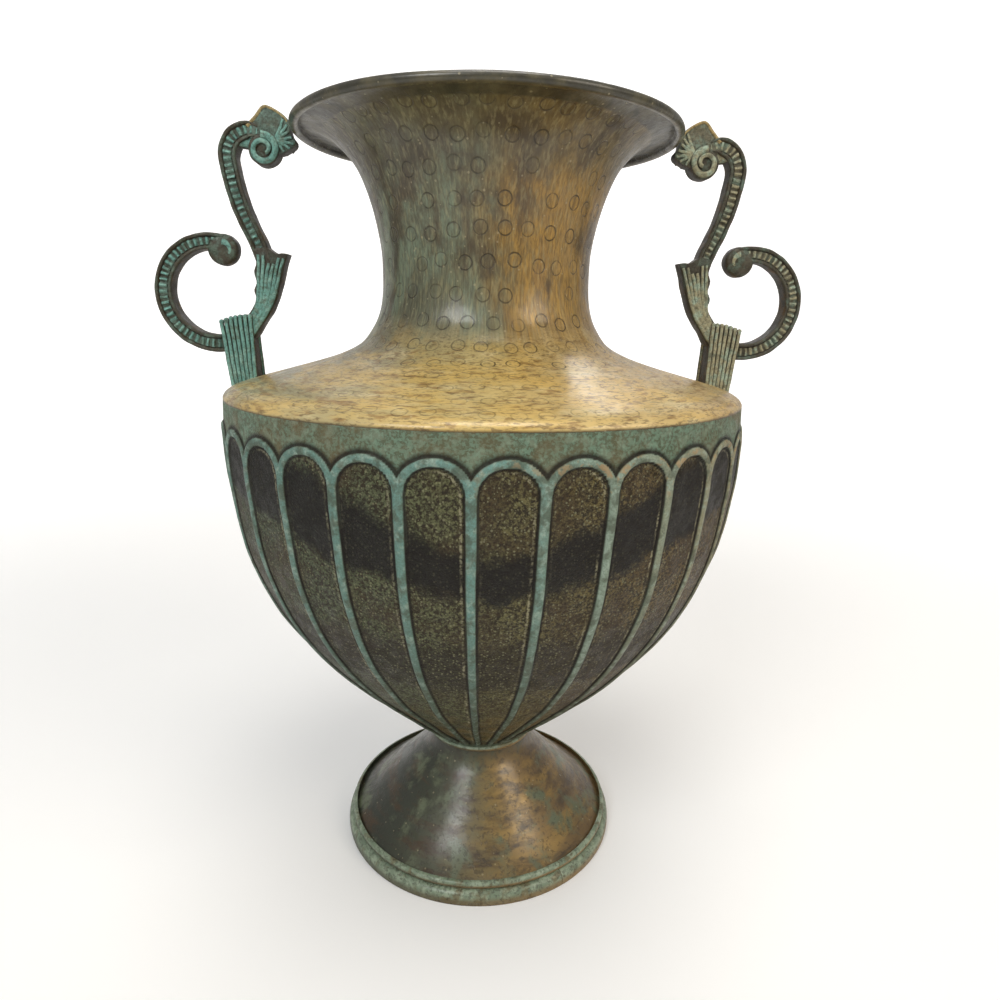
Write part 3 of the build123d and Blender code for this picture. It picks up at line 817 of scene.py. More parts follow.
@dataclass(frozen=True)
class RingPatina(Finish):
    """Strip rings, pale green on their upper edges and brown gold under them."""

    def paint(self, bench: NodeBench, effects: Effects) -> tuple[Feed, Feed, Feed]:
        """Colour, metal and height of a ring."""
        place = bench.place()
        cloud = effects.clouds(bench)
        facing = bench.split(bench.put("NewGeometry").outputs["Normal"])[2]
        upward = bench.step(facing, -0.15, 0.5)
        across = effects.sideways(bench, place)[1]
        # Under the pale tops, olive on the left to gold on the right: painted shade and painted warm light
        # over the patina.
        low = bench.ramp(across, ((0.0, 74, 78, 58), (0.5, 116, 96, 58), (1.0, 146, 116, 66)))
        pale = cloud(place, 6.0, 0.52, 0.1, 1.0)
        top = bench.mix(bench.times(pale, 0.7), tone(120, 136, 112), tone(164, 178, 152))
        worn = cloud(place, 9.0, 0.56, 0.06, 2.0)
        top = bench.lay(top, tone(110, 96, 62), worn, 0.7)
        colour = bench.mix(upward, low, top)
        fine = cloud(place, 1.8, 0.56, 0.06, 3.0)
        colour = bench.lay(colour, tone(50, 42, 27), fine, 0.5)
        return colour, bench.times(worn, 0.3), bench.times(fine, -0.5)


@dataclass(frozen=True)
class PlainBrass(Finish):
    """Dull unlacquered brass of the hardware, tarnished in patches."""

    def paint(self, bench: NodeBench, effects: Effects) -> tuple[Feed, Feed, Feed]:
        """Colour, metal and height of a bolt, screw, washer or wire."""
        place = bench.place()
        cloud = effects.clouds(bench)
        tarnish = cloud(place, 5.0, 0.52, 0.12)
        colour = bench.mix(tarnish, tone(176, 148, 86), tone(104, 84, 50))
        grain = cloud(place, 0.8, 0.5, 0.2, 2.0)
        return colour, bench.step(tarnish, 0.0, 1.0, 0.9, 0.4), bench.times(grain, 0.4)


@dataclass
class NeckAndShoulder:
    """Spun upper body: shoulder, neck, flared and rolled lip, and the skirt inside the belly."""

    edge_radius: float = 156.0
    seam_height: float = 306.0
    rim_height: float = 457.0
    lip_radius: float = 109.4
    roll_radius: float = 2.6
    wall: float = 1.2
    skirt_radius: float = 154.15
    skirt_low: float = 299.0
    step_out: float = 1.7
    step_in: float = 6.0
    columns: int = 420
    row_gap: float = 15.5
    ring_gap: float = 13.5
    ring_radius: float = 3.7
    ring_edge: float = 0.6
    dimple: float = 0.22
    groove: Pair = (106.9, 454.55)
    roll_start: float = -168.0
    roll_step: float = 0.75
    seed: int = 11
    first_row: float = 10.0
    last_row: float = 6.0
    plain_from: float = 455.2
    turn_play: float = 0.13
    shift_play: float = 1.6
    missing: float = 0.12
    softest: float = 0.55
    shoulder_radius: float = 95.0
    shoulder_length: float = 90.0
    dent_depth: float = 0.22
    dent_size: float = 38.0
    outline: tuple[Pair, ...] = (
        (156.0, 307.4), (154.6, 309.4), (149.6, 312.2), (137.0, 316.0), (122.4, 320.0), (103.8, 325.2),
        (88.0, 330.6), (75.6, 337.4), (68.0, 347.6), (64.4, 356.4), (62.7, 367.0), (62.4, 378.0),
        (62.9, 390.0), (64.9, 402.0), (67.6, 413.0), (71.2, 424.0), (76.4, 435.4), (82.8, 443.6),
        (90.4, 450.0), (98.0, 453.6), (106.4, 455.3),
    )

    def section(self) -> tuple[list[Vector], int]:
        """The closed section, and how many of its first points are the outer face."""
        outer = smooth_line(self.outline, self.step_out)
        centre = (self.lip_radius, self.rim_height - self.roll_radius)
        roll = arc_line(centre, self.roll_radius, self.roll_start, 90.0, self.roll_step)
        shown = [*outer, at(*self.groove), *roll]
        inner = even(list(reversed(inset_line(outer, self.wall))), self.step_in)
        inside = self.skirt_radius - self.wall
        skirt = [
            at(inside, self.seam_height + self.wall),
            at(inside, self.skirt_low),
            at(self.skirt_radius, self.skirt_low),
            at(self.skirt_radius, self.seam_height),
            at(self.edge_radius, self.seam_height),
        ]
        return [*shown, *inner[1:-1], *skirt], len(shown)

    def punch_rows(self, outer: Sequence[Vector]) -> list[tuple[float, Ring]]:
        """Rows of punched rings over the outer face.

        Args:
            outer: points of the outer face's line.

        Returns:
            For each row its mark along the line, and for each ring its turn, its shift along the line and
            its force.
        """
        chance = random.Random(self.seed)
        rows = []
        mark = self.first_row
        while mark < (len(outer) - 1) * self.step_out - self.last_row:
            radius = outer[round(mark / self.step_out)].x
            count = round(math.tau * radius / self.ring_gap)
            full = self.softest if radius > self.shoulder_radius and mark < self.shoulder_length else 1.0
            start = chance.random()
            rings = []
            for number in range(count):
                play = chance.uniform(-self.turn_play, self.turn_play)
                turn = math.tau * (number + start + play) / count
                force = 0.0 if chance.random() < self.missing else full * chance.uniform(self.softest, 1.0)
                rings.append((turn, chance.uniform(-self.shift_play, self.shift_play), force))
            rows.append((mark, rings))
            mark += self.row_gap
        return rows

    def build(self, material: Material) -> Item:
        """Models the spun sheet with its punched rings.

        Args:
            material: its finish.

        Returns:
            The finished piece.
        """
        piece = Workpiece("spun_neck", ("skin", "along", "punch", "force"))
        points, shown = self.section()
        edges = piece.loop(points)
        piece.bm.verts.ensure_lookup_table()
        skin, along = piece.layer("skin"), piece.layer("along")
        mark = 0.0
        for index in range(shown):
            if index:
                mark += (points[index] - points[index - 1]).length
            piece.bm.verts[index][skin] = 1.0
            piece.bm.verts[index][along] = mark
        piece.spin(edges, self.columns)
        self.punch(piece, points[:shown])
        piece.roughen(self.dent_depth, self.dent_size)
        return piece.finish(material, "neck_and_shoulder")

    def punch(self, piece: Workpiece, outer: Sequence[Vector]) -> None:
        """Writes each point's distance to its nearest ring's middle, and presses a shallow dimple there."""
        rows = self.punch_rows([point for point in outer if point.z < self.plain_from])
        skin, along = piece.layer("skin"), piece.layer("along")
        punch, strength = piece.layer("punch"), piece.layer("force")
        for vert in piece.bm.verts:
            vert[punch] = self.row_gap
            if vert[skin] < 0.5:
                continue
            number = round((vert[along] - rows[0][0]) / self.row_gap)
            if not 0 <= number < len(rows):
                continue
            mark, rings = rows[number]
            radius = math.hypot(vert.co.x, vert.co.y)
            turn = math.atan2(vert.co.y, vert.co.x) % math.tau
            nearest = self.row_gap
            for offset in (-2, -1, 0, 1):
                place = int(turn * len(rings) / math.tau) + offset
                ring_turn, shift, force = rings[place % len(rings)]
                apart = (turn - ring_turn + math.pi) % math.tau - math.pi
                distance = math.hypot(apart * radius, vert[along] - mark - shift)
                if distance < nearest:
                    nearest = distance
                    vert[punch] = distance
                    vert[strength] = force
            reach = min(nearest / (self.ring_radius + self.ring_edge), 1.0)
            depth = self.dimple * vert[strength] * dome(reach)
            vert.co.x -= depth * vert.co.x / radius
            vert.co.y -= depth * vert.co.y / radius


@dataclass
class FlutedBelly:
    """Bowl with thirty arched flutes between raised ribs, under a plain band."""

    waist_radius: float = 35.9
    waist_height: float = 73.0
    widest_radius: float = 158.2
    top_height: float = 306.0
    top_radius: float = 157.4
    wall: float = 1.6
    rib_proud: float = 1.4
    rib_low: float = 3.4
    rib_high: float = 6.0
    apex_height: float = 295.0
    arch_drop: float = 16.6
    moulding: float = 4.3
    overlap: float = 1.75
    flute_foot: float = 75.5
    flutes: int = 30
    first_turn: float = 2.1
    bolt_hole: float = 4.25
    columns: int = 720
    crowding: float = 0.55
    fine_from: float = 258.0
    fine_step: float = 1.05
    step: float = 3.7
    step_in: float = 17.0
    hollow: float = 0.45
    sway: float = 0.35
    panel_crease: float = 0.9
    band_crease: float = 2.6
    groove_depth: float = 0.2
    groove_half: float = 0.5
    dent_depth: float = 0.16
    grain_depth: float = 0.06
    outline: tuple[Pair, ...] = (
        (0.241, 0.116), (0.567, 0.288), (0.801, 0.459), (0.936, 0.631), (0.990, 0.803), (1.0, 0.910),
    )

    def section(self) -> tuple[list[Vector], list[Vector]]:
        """The closed section at the panels' level, and the outer face's way out at its first points."""
        start = (self.waist_radius, self.waist_height)
        end = (self.widest_radius, self.top_height)
        bulge = [between(start, end, across, up) for across, up in self.outline]
        tops = [start, *bulge, (self.top_radius, self.top_height)]
        line = inset_line(smooth_line(tops, 1.0), self.rib_proud)
        low = even([point for point in line if point.z <= self.fine_from], self.step)
        high = even([point for point in line if point.z >= self.fine_from], self.fine_step)
        outer = [*low, *high]
        outer[-1].z = self.top_height
        inner = even(list(reversed(inset_line(outer, self.wall))), self.step_in)
        floor = self.waist_height + self.wall
        bottom = [at(self.bolt_hole, floor), at(self.bolt_hole, self.waist_height)]
        ways = []
        for index in range(len(outer)):
            along = outer[min(index + 1, len(outer) - 1)] - outer[max(index - 1, 0)]
            ways.append(at(along.z, -along.x).normalized())
        inside = [point for point in inner if point.z > floor]
        return [*outer, *inside, *bottom], ways

    def rib(self, across: float, height: float, pitch: float) -> tuple[float, float, float]:
        """What stands at a place of one flute.

        Args:
            across: distance from the panel's middle, round the belly.
            height: height above the floor.
            pitch: distance between two ribs there.

        Returns:
            How far the place stands up, 0 to 1; 1 on a panel; and the distance outside the rib's edge.
        """
        half = pitch / 2.0
        spring = self.apex_height - self.arch_drop
        reach = abs(across)
        if height < self.flute_foot:
            return 1.0, 0.0, 0.0
        if height <= spring:
            share = (height - self.flute_foot) / (self.apex_height - self.flute_foot)
            width = (self.rib_low + (self.rib_high - self.rib_low) * share) / 2.0
            gap = half - reach - width
            return dome((half - reach) / width), float(gap > 0.0), max(gap, 0.0)
        up = height - spring
        inner_drop = self.arch_drop - self.moulding
        rise = 0.0
        panel = 0.0
        gap = self.apex_height
        for offset in (reach, pitch - reach):
            inner = (math.hypot(offset / (half - self.rib_high / 2.0), up / inner_drop) - 1.0) * inner_drop
            outer = (1.0 - math.hypot(offset / (half + self.overlap), up / self.arch_drop)) * self.arch_drop
            if inner > 0.0 and outer > 0.0:
                rise = max(rise, dome((inner - outer) / (inner + outer)))
            panel = max(panel, float(inner <= 0.0))
            gap = min(gap, max(-inner if inner < 0.0 else -outer, 0.0))
        return rise, panel, gap

    def shape(self, piece: Workpiece) -> None:
        """Crowds the columns at the ribs, raises the ribs and writes the layers that the finish reads."""
        skin, out, rise_out = piece.layer("skin"), piece.layer("out"), piece.layer("up")
        relief, panel_layer, crease = piece.layer("relief"), piece.layer("panel"), piece.layer("crease")
        hand = piece.layer("hand")
        step = math.tau / self.flutes
        first = math.radians(self.first_turn)
        for vert in piece.bm.verts:
            radius = math.hypot(vert.co.x, vert.co.y)
            flute, share = divmod((math.atan2(vert.co.y, vert.co.x) - first) / step, 1.0)
            share -= self.crowding * math.sin(math.tau * share) / math.tau
            turn = first + (flute + share) * step
            outwards = Vector((math.cos(turn), math.sin(turn), 0.0))
            vert.co = outwards * radius + at(0.0, vert.co.z)
            if vert[skin] < 0.5:
                continue
            pitch = radius * step
            across = (share - 0.5) * pitch
            sway = self.sway * uneven(vert.co, 30.0, 2.0)
            rise, panel, gap = self.rib(across + sway, vert.co.z, pitch)
            vert[relief] = rise
            vert[panel_layer] = panel
            vert[crease] = math.exp(-gap / (self.panel_crease if panel else self.band_crease))
            vert[hand] = min(max(0.5 + 3.0 * (share - 0.5), 0.15), 1.0)
            lift = self.rib_proud * rise * (0.94 + 0.12 * uneven(vert.co, 14.0))
            lift -= self.hollow * panel * dome(2.0 * (share - 0.5), 1.0)
            groove = math.exp(-((gap - self.groove_half) / self.groove_half) ** 2)
            lift -= self.groove_depth * groove * (1.0 - rise)
            dents = self.dent_depth * uneven(vert.co, 26.0, 5.0)
            lift += dents + self.grain_depth * uneven(vert.co, 6.0, 9.0)
            if vert.co.z > self.top_height - 0.01:
                lift = 0.0
            vert.co += (outwards * vert[out] + at(0.0, vert[rise_out])) * lift

    def build(self, material: Material) -> Item:
        """Models the fluted bowl.

        Args:
            material: its finish.

        Returns:
            The finished piece.
        """
        piece = Workpiece("arched_flutes", ("skin", "out", "up", "relief", "panel", "crease", "hand"))
        points, ways = self.section()
        edges = piece.loop(points)
        piece.bm.verts.ensure_lookup_table()
        for vert, way in zip(piece.bm.verts, ways):
            vert[piece.layer("skin")] = 1.0
            vert[piece.layer("out")] = way.x
            vert[piece.layer("up")] = way.z
        piece.spin(edges, self.columns)
        self.shape(piece)
        return piece.finish(material, "fluted_belly")


@dataclass
class Foot:
    """Spun foot with its collar, bead ring and hem ring."""

    top_radius: float = 33.3
    top_height: float = 69.0
    skirt_radius: float = 88.8
    skirt_height: float = 11.5
    wall: float = 1.2
    bolt_hole: float = 4.25
    collar_radius: float = 36.6
    collar_height: float = 4.0
    bead_low: float = 9.2
    bead_height: float = 5.4
    bead_proud: float = 2.7
    hem_proud: float = 5.8
    gap: float = 0.12
    joint_gap: float = 0.35
    joint_turn: float = -57.0
    ring_wave: float = 0.12
    columns: int = 256
    outline: tuple[Pair, ...] = (
        (0.055, 0.13), (0.14, 0.25), (0.41, 0.51), (0.70, 0.775), (0.86, 0.905),
    )
    hem_outline: tuple[Pair, ...] = (
        (-0.5, 0.0), (-0.05, 0.6), (0.0, 2.0), (-0.15, 4.6), (-1.1, 7.0), (-2.8, 8.6), (-4.4, 9.2),
    )

    def dome_shell(self, material: Material) -> Item:
        """Models the dome with its flat top and upright skirt.

        Args:
            material: its finish.

        Returns:
            The finished piece.
        """
        top = (self.top_radius, self.top_height)
        low = (self.skirt_radius, self.skirt_height)
        dome_line = smooth_line([top, *(between(top, low, a, b) for a, b in self.outline), low], 1.5)
        under = even(list(reversed(inset_line(dome_line, -self.wall))), 4.0)
        inside = self.skirt_radius - self.wall
        points = [
            at(self.bolt_hole, self.top_height),
            *dome_line,
            at(self.skirt_radius, 0.0),
            at(inside, 0.0),
            *[point for point in under if point.x < inside and point.z < self.top_height - self.wall],
            at(self.bolt_hole, self.top_height - self.wall),
        ]
        piece = Workpiece("spun_foot")
        piece.spin(piece.loop(points), self.columns)
        piece.roughen(0.12, 24.0)
        return piece.finish(material, "foot")

    def collar(self, material: Material) -> Item:
        """Models the rounded ring between belly and foot.

        Args:
            material: its finish.

        Returns:
            The finished piece.
        """
        half = self.collar_height / 2.0
        middle = self.top_height + half
        edge = arc_line((self.collar_radius - half, middle), half, -90.0, 90.0, 0.5)
        points = [*edge, at(self.bolt_hole, middle + half), at(self.bolt_hole, middle - half)]
        piece = Workpiece("rounded_collar")
        piece.spin(piece.loop(points), self.columns)
        return piece.finish(material, "waist_collar")

    def ring(self, name: str, points: Sequence[Vector], material: Material, node: str) -> Item:
        """Models a ring bent from strip, its two ends almost meeting.

        Args:
            name: the piece's name.
            points: its section.
            material: its finish.
            node: the CAD node that it stands for.

        Returns:
            The finished piece.
        """
        opening = math.degrees(self.joint_gap / self.skirt_radius)
        piece = Workpiece(name)
        piece.spin(piece.loop(points), self.columns, FULL_TURN - opening)
        start = Matrix.Rotation(math.radians(self.joint_turn + opening / 2.0), 4, "Z")
        bmesh.ops.transform(piece.bm, matrix=start, verts=piece.bm.verts)
        for vert in piece.bm.verts:
            vert.co.z += self.ring_wave * uneven(vert.co, 30.0) if vert.co.z > FLAT_ZONE else 0.0
        return piece.finish(material, node)

    def build(self, dome: Material, rings: Material) -> None:
        """Models the foot's four turned pieces.

        Args:
            dome: finish of the spun foot.
            rings: finish of collar and rings.
        """
        self.dome_shell(dome)
        self.collar(rings)
        back = self.skirt_radius + self.gap
        half = self.bead_height / 2.0
        flat = self.bead_proud / half
        bead = arc_line((0.0, self.bead_low + half), half, -90.0, 90.0, 0.5)
        bead_points = [at(back + point.x * flat, point.z) for point in bead]
        self.ring("bead_strip", bead_points, rings, "foot_bead_ring")
        front = self.skirt_radius + self.hem_proud
        crown = smooth_line([*((front + x, z) for x, z in self.hem_outline), (back, self.bead_low)], 0.6)
        self.ring("hem_strip", [at(back, 0.0), *crown], rings, "foot_hem_ring")


@dataclass
class ScrollHandle:
    """Scroll handle cast in one piece: leaf, volute, laddered stem, veined husk, open scroll and strap."""

    side: Side = Side.RIGHT
    depth: float = 11.0
    band_width: float = 10.6
    sink: float = 1.5
    rung_gap: float = 3.4
    volute_centre: Pair = (128.6, 443.6)
    volute_radius: float = 10.0
    volute_depth: float = 6.0
    volute_turns: float = 1.4
    spiral_start: float = 84.0
    spiral_widths: Pair = (2.3, 1.3)
    spiral_end: float = 2.3
    spiral_steps: int = 44
    scroll_centre: Pair = (163.0, 364.3)
    scroll_radius: float = 29.4
    scroll_start: float = -112.0
    scroll_end: float = 104.0
    curl_centre: Pair = (156.0, 389.0)
    curl_radius: float = 8.8
    comma_radius: float = 4.4
    comma_start: float = 96.0
    comma_end: float = 214.0
    band_step: float = 0.55
    vein_step: float = 1.1
    petal_step: float = 1.2
    oval_corners: int = 12
    core_relief: float = 0.3
    stem: tuple[Pair, ...] = (
        (131.6, 453.0), (137.6, 453.7), (145.6, 449.6), (149.3, 441.5), (148.7, 433.5), (146.0, 420.0),
        (142.8, 410.0), (138.6, 400.0), (134.4, 390.5), (131.8, 382.0),
    )
    leaf_depth: float = 4.6
    leaf_outline: tuple[Pair, ...] = (
        (139.0, 452.0), (136.4, 456.6), (131.8, 461.6), (127.2, 466.8), (122.6, 465.6), (117.0, 462.4),
        (113.6, 459.0), (113.1, 454.8), (112.6, 451.4), (110.4, 448.8), (110.6, 446.2), (114.0, 443.8),
        (119.5, 441.5), (126.0, 443.0), (133.0, 447.0),
    )
    leaf_edge: tuple[Pair, ...] = (
        (137.0, 455.2), (131.6, 461.0), (127.0, 465.8), (122.4, 464.6), (117.2, 461.4), (114.4, 458.4),
    )
    leaf_root: tuple[Pair, ...] = ((131.0, 447.5), (137.0, 447.5), (143.0, 446.0))
    fan_root: Pair = (121.4, 448.6)
    fan_tips: tuple[Pair, ...] = (
        (117.0, 442.6), (113.4, 444.4), (111.2, 447.0), (112.2, 450.2), (113.6, 453.4), (114.4, 456.6),
        (116.6, 459.4),
    )
    husk_inner: tuple[Pair, ...] = (
        (119.6, 384.4), (122.3, 377.4), (125.9, 365.5), (130.9, 354.6), (137.4, 345.6), (143.4, 337.6),
    )
    husk_outer: tuple[Pair, ...] = (
        (136.0, 386.6), (136.4, 376.0), (137.0, 366.0), (138.4, 357.0), (143.2, 349.0), (151.0, 341.5),
    )
    husk_plate: tuple[Pair, ...] = (
        (117.8, 387.2), (120.2, 380.0), (123.6, 368.0), (128.6, 355.6), (135.6, 345.4), (141.6, 337.4),
        (151.0, 338.6), (149.6, 345.6), (144.0, 351.6), (140.4, 356.4), (138.2, 361.6), (139.2, 366.2),
        (137.4, 370.8), (138.4, 377.0), (137.0, 381.6), (138.0, 389.0), (131.0, 391.0), (125.0, 387.4),
        (121.0, 387.6),
    )
    veins: int = 6
    strap_top: tuple[Pair, Pair] = ((140.6, 350.5), (160.6, 346.5))
    strap_foot: tuple[Pair, Pair] = ((139.4, 315.2), (155.2, 308.7))
    strap_half_high: float = 6.6
    strap_half_low: float = 9.4
    core_inset: Pair = (0.8, 0.9)
    core_corners: tuple[Pair, ...] = (
        (1.0, 0.8), (0.9, 1.0), (-0.9, 1.0), (-1.0, 0.8), (-1.0, -0.8), (-0.9, -1.0), (0.9, -1.0),
        (1.0, -0.8),
    )
    reeds: int = 7
    reed_steps: int = 20

    def oval(self, half_width: float, half_depth: float, low: float = 0.35) -> Ring:
        """A full oval section, its relief highest where it is deepest."""
        outline = []
        for number in range(self.oval_corners):
            angle = math.tau * number / self.oval_corners
            across, deep = math.cos(angle), math.sin(angle)
            relief = max(low, low + (1.0 - low) * abs(deep))
            outline.append((half_width * across, half_depth * deep, relief))
        return outline

    def band_section(self, size: float, rung: float, beads: float) -> Ring:
        """The band's section: raised edges, and on both faces a channel whose floor carries the rungs.

        Args:
            size: width as a share of the full width.
            rung: how far the floor stands up here, 0 to 1.
            beads: how far the rungs shrink to beads, 0 to 1.

        Returns:
            The closed outline.
        """
        half = self.band_width / 2.0 * size
        deep = self.depth / 2.0 * (0.8 + 0.2 * size)
        floor = deep - self.sink
        top = floor + self.sink * 0.8 * rung
        edge = floor + self.sink * 0.8 * rung * (1.0 - beads)
        ladder = 0.46 + 0.5 * rung
        line = 0.46 + 0.5 * rung * (1.0 - beads)
        face = [
            (1.0, 0.0, 0.1), (1.0, 0.55 * deep, 0.2), (0.98, 0.84 * deep, 0.28),
            (0.88, 0.98 * deep, 0.32), (0.7, deep, 0.34), (0.6, 0.93 * deep, 0.3), (0.52, floor, 0.1),
            (0.4, edge, line), (0.22, top, ladder), (0.0, top, ladder),
        ]
        outline = []
        for way, deep_way, points in (
            (half, -1.0, face), (-half, -1.0, face[-2::-1]), (-half, 1.0, face[1:]),
            (half, 1.0, face[-2:0:-1]),
        ):
            outline += [(way * across, deep_way * out, relief) for across, out, relief in points]
        return outline

    def band(
        self, piece: Workpiece, path: Sequence[Vector], taper: Callable[[float], float], beads: float
    ) -> None:
        """Draws the laddered band along a path.

        Args:
            piece: the casting.
            path: its middle line.
            taper: width at a share of the path.
            beads: share of the path after which the rungs shrink to beads.
        """
        length = sum((end - start).length for start, end in zip(path, path[1:]))

        def section(share: float) -> Ring:
            """Section at a share of the path."""
            wave = math.cos(math.tau * share * length / self.rung_gap)
            rung = min(max(0.3 + 1.1 * wave, 0.0), 1.0)
            return self.band_section(taper(share), rung, min(max((share - beads) * 5.0, 0.0), 1.0))

        piece.sweep(path, section)

    def spiral(self, piece: Workpiece) -> None:
        """Draws the volute's raised spiral on both faces, anticlockwise towards its eye."""
        centre = self.volute_centre
        deep = self.volute_depth - 0.7
        first, last = self.spiral_widths
        count = round(self.volute_turns * self.spiral_steps)
        for face in FACES:
            path = []
            for step in range(count + 1):
                share = step / count
                angle = math.radians(self.spiral_start + FULL_TURN * self.volute_turns * share)
                reach = (self.volute_radius - first) * (1.0 - share) ** 0.8 + self.spiral_end * share
                across, up = reach * math.cos(angle), reach * math.sin(angle)
                path.append(Vector((centre[0] + across, face * deep, centre[1] + up)))
            piece.sweep(path, lambda share: self.oval(first + (last - first) * share, 1.9 - 0.5 * share, 0.3))

    def boss(self, piece: Workpiece, centre: Pair, radius: float, deep: float, soft: float) -> None:
        """A round core with bevelled edges, its axis along Y.

        Args:
            piece: the casting.
            centre: (x, z) of the core.
            radius: its radius.
            deep: half its depth.
            soft: how far its edges are rounded.
        """
        made = bmesh.ops.create_cone(
            piece.bm, cap_ends=True, segments=40, radius1=radius, radius2=radius, depth=2.0 * deep
        )
        verts = made["verts"]
        upright = Matrix.Rotation(math.pi / 2.0, 3, "X")
        bmesh.ops.rotate(piece.bm, cent=(0.0, 0.0, 0.0), matrix=upright, verts=verts)
        bmesh.ops.translate(piece.bm, vec=(centre[0], 0.0, centre[1]), verts=verts)
        for vert in verts:
            vert[piece.layer("relief")] = self.core_relief
        self.soften(piece, verts, soft)

    def soften(self, piece: Workpiece, verts: Sequence[BMVert], width: float) -> None:
        """Rounds the front and back edges of a flat body, given its points."""
        edges = {edge for vert in verts for edge in vert.link_edges}
        rims = [edge for edge in edges if abs(edge.verts[0].co.y - edge.verts[1].co.y) < 0.01]
        bmesh.ops.bevel(
            piece.bm,
            geom=rims,
            offset=width,
            offset_type="OFFSET",
            segments=3,
            profile=0.5,
            affect="EDGES",
            material=-1,
        )

    def plate(self, piece: Workpiece, places: Sequence[Pair], deep: float, relief: float) -> None:
        """A flat body with rounded edges, the core under a leaf or husk.

        Args:
            piece: the casting.
            places: (x, z) points of its outline.
            deep: half its depth.
            relief: value for the relief layer.
        """
        line = smooth_line([*places, places[0]], 1.8)[:-1]
        edges = piece.loop([point + Vector((0.0, -deep, 0.0)) for point in line])
        verts = [edge.verts[0] for edge in edges]
        for vert in verts:
            vert[piece.layer("relief")] = relief
        face = bmesh.ops.contextual_create(piece.bm, geom=edges)["faces"]
        made = bmesh.ops.extrude_face_region(piece.bm, geom=face, use_keep_orig=True)["geom"]
        fresh = [item for item in made if isinstance(item, BMVert)]
        bmesh.ops.translate(piece.bm, vec=(0.0, 2.0 * deep, 0.0), verts=fresh)
        self.soften(piece, [*verts, *fresh], 0.7)

    def vein(self, piece: Workpiece, places: Sequence[Pair], width: float, deep: float, low: float) -> None:
        """A raised vein on both faces.

        Args:
            piece: the casting.
            places: (x, z) points of its middle line, root first.
            width: half width at its root.
            deep: distance of its middle from the handle's plane.
            low: relief at its sides; over 1 where it is rubbed bright.
        """
        for face in FACES:
            path = [point + Vector((0.0, face * deep, 0.0)) for point in smooth_line(places, self.vein_step)]
            piece.sweep(path, lambda share: self.oval(width * (1.0 - 0.45 * share), 1.1 - 0.3 * share, low))

    def ridge(self, piece: Workpiece, places: Sequence[Pair], widths: Pair, deep: Pair) -> None:
        """A rounded ridge through the casting's whole depth.

        Args:
            piece: the casting.
            places: (x, z) points of its middle line, root first.
            widths: half width at its fullest and at its tip.
            deep: half depth at its root and at its tip.
        """

        def section(share: float) -> Ring:
            """Section at a share of the ridge."""
            swell = math.sin(math.pi * min(0.12 + 0.88 * share, 1.0)) ** 0.6
            width = max(widths[0] * (0.55 + 0.45 * swell) * (1.0 - share) ** 0.25, widths[1] * 0.4)
            return self.oval(width, deep[0] + (deep[1] - deep[0]) * share)

        piece.sweep(smooth_line(places, self.petal_step), section)

    def leaf(self, piece: Workpiece) -> None:
        """The hooded leaf over the volute, with the small fan that reaches for the lip."""
        self.plate(piece, self.leaf_outline, self.leaf_depth, 0.52)
        self.vein(piece, self.leaf_edge, 1.2, self.leaf_depth - 0.5, 1.4)
        for tip in self.fan_tips:
            self.vein(piece, (self.fan_root, tip), 1.45, self.leaf_depth + 0.2, 0.25)

    def husk(self, piece: Workpiece) -> None:
        """The flowing veins from the spur down to the strap, with a toothed outer edge."""
        self.plate(piece, self.husk_plate, self.depth / 2.0 - 0.3, 0.2)
        for number in range(self.veins):
            share = (number + 0.25) / (self.veins - 0.5)
            places = [between(a, b, share, share) for a, b in zip(self.husk_inner, self.husk_outer)]
            if number in (2, 3):
                places[0] = places[0][0], places[0][1] - 4.0
            width = 1.35 + 0.35 * math.sin(math.pi * share)
            deep = self.depth / 2.0 - 0.1 - 0.25 * (number % 2)
            self.vein(piece, tuple(reversed(places)), width + 0.3, deep, 0.15)

    def strap(self, piece: Workpiece) -> None:
        """The reeded strap over a tapered core, standing on the shoulder."""
        (in_high, out_high), (in_low, out_low) = self.strap_top, self.strap_foot
        middle_high = ((in_high[0] + out_high[0]) / 2.0, (in_high[1] + out_high[1]) / 2.0 - 2.5)
        middle_low = ((in_low[0] + out_low[0]) / 2.0, (in_low[1] + out_low[1]) / 2.0)
        half = (out_low[0] - in_low[0]) / 2.0

        def core(share: float) -> Ring:
            """Rounded rectangle of the core at a share of its height."""
            wide = half + (share * (out_high[0] - in_high[0]) / 2.0 - share * half) - self.core_inset[0]
            deep = self.strap_half_low + (self.strap_half_high - self.strap_half_low) * share
            deep -= self.core_inset[1]
            return [(wide * a, deep * b, 0.15) for a, b in self.core_corners]

        foot, crown = at(*middle_low), at(*middle_high)
        piece.sweep([foot, foot.lerp(crown, 0.3), foot.lerp(crown, 0.65), crown], core)
        for face in FACES:
            for number in range(self.reeds):
                share = (number + 0.5) / self.reeds
                low = at(*between(in_low, out_low, share, share))
                high = at(*between(in_high, out_high, share, share))
                low.y = face * (self.strap_half_low - 0.6)
                high.y = face * (self.strap_half_high - 0.3)
                bow = 1.2 * math.sin(math.pi * share)
                path = []
                for step in range(self.reed_steps + 1):
                    lift = at(0.0, bow * step / self.reed_steps)
                    path.append(low.lerp(high, step / self.reed_steps) + lift)
                piece.sweep(path, lambda t: self.oval(1.3, 1.35 * (1.0 if t < 0.9 else 1.15), 0.1))
                piece.bead(path[-1] + at(0.0, 0.4), 1.55)

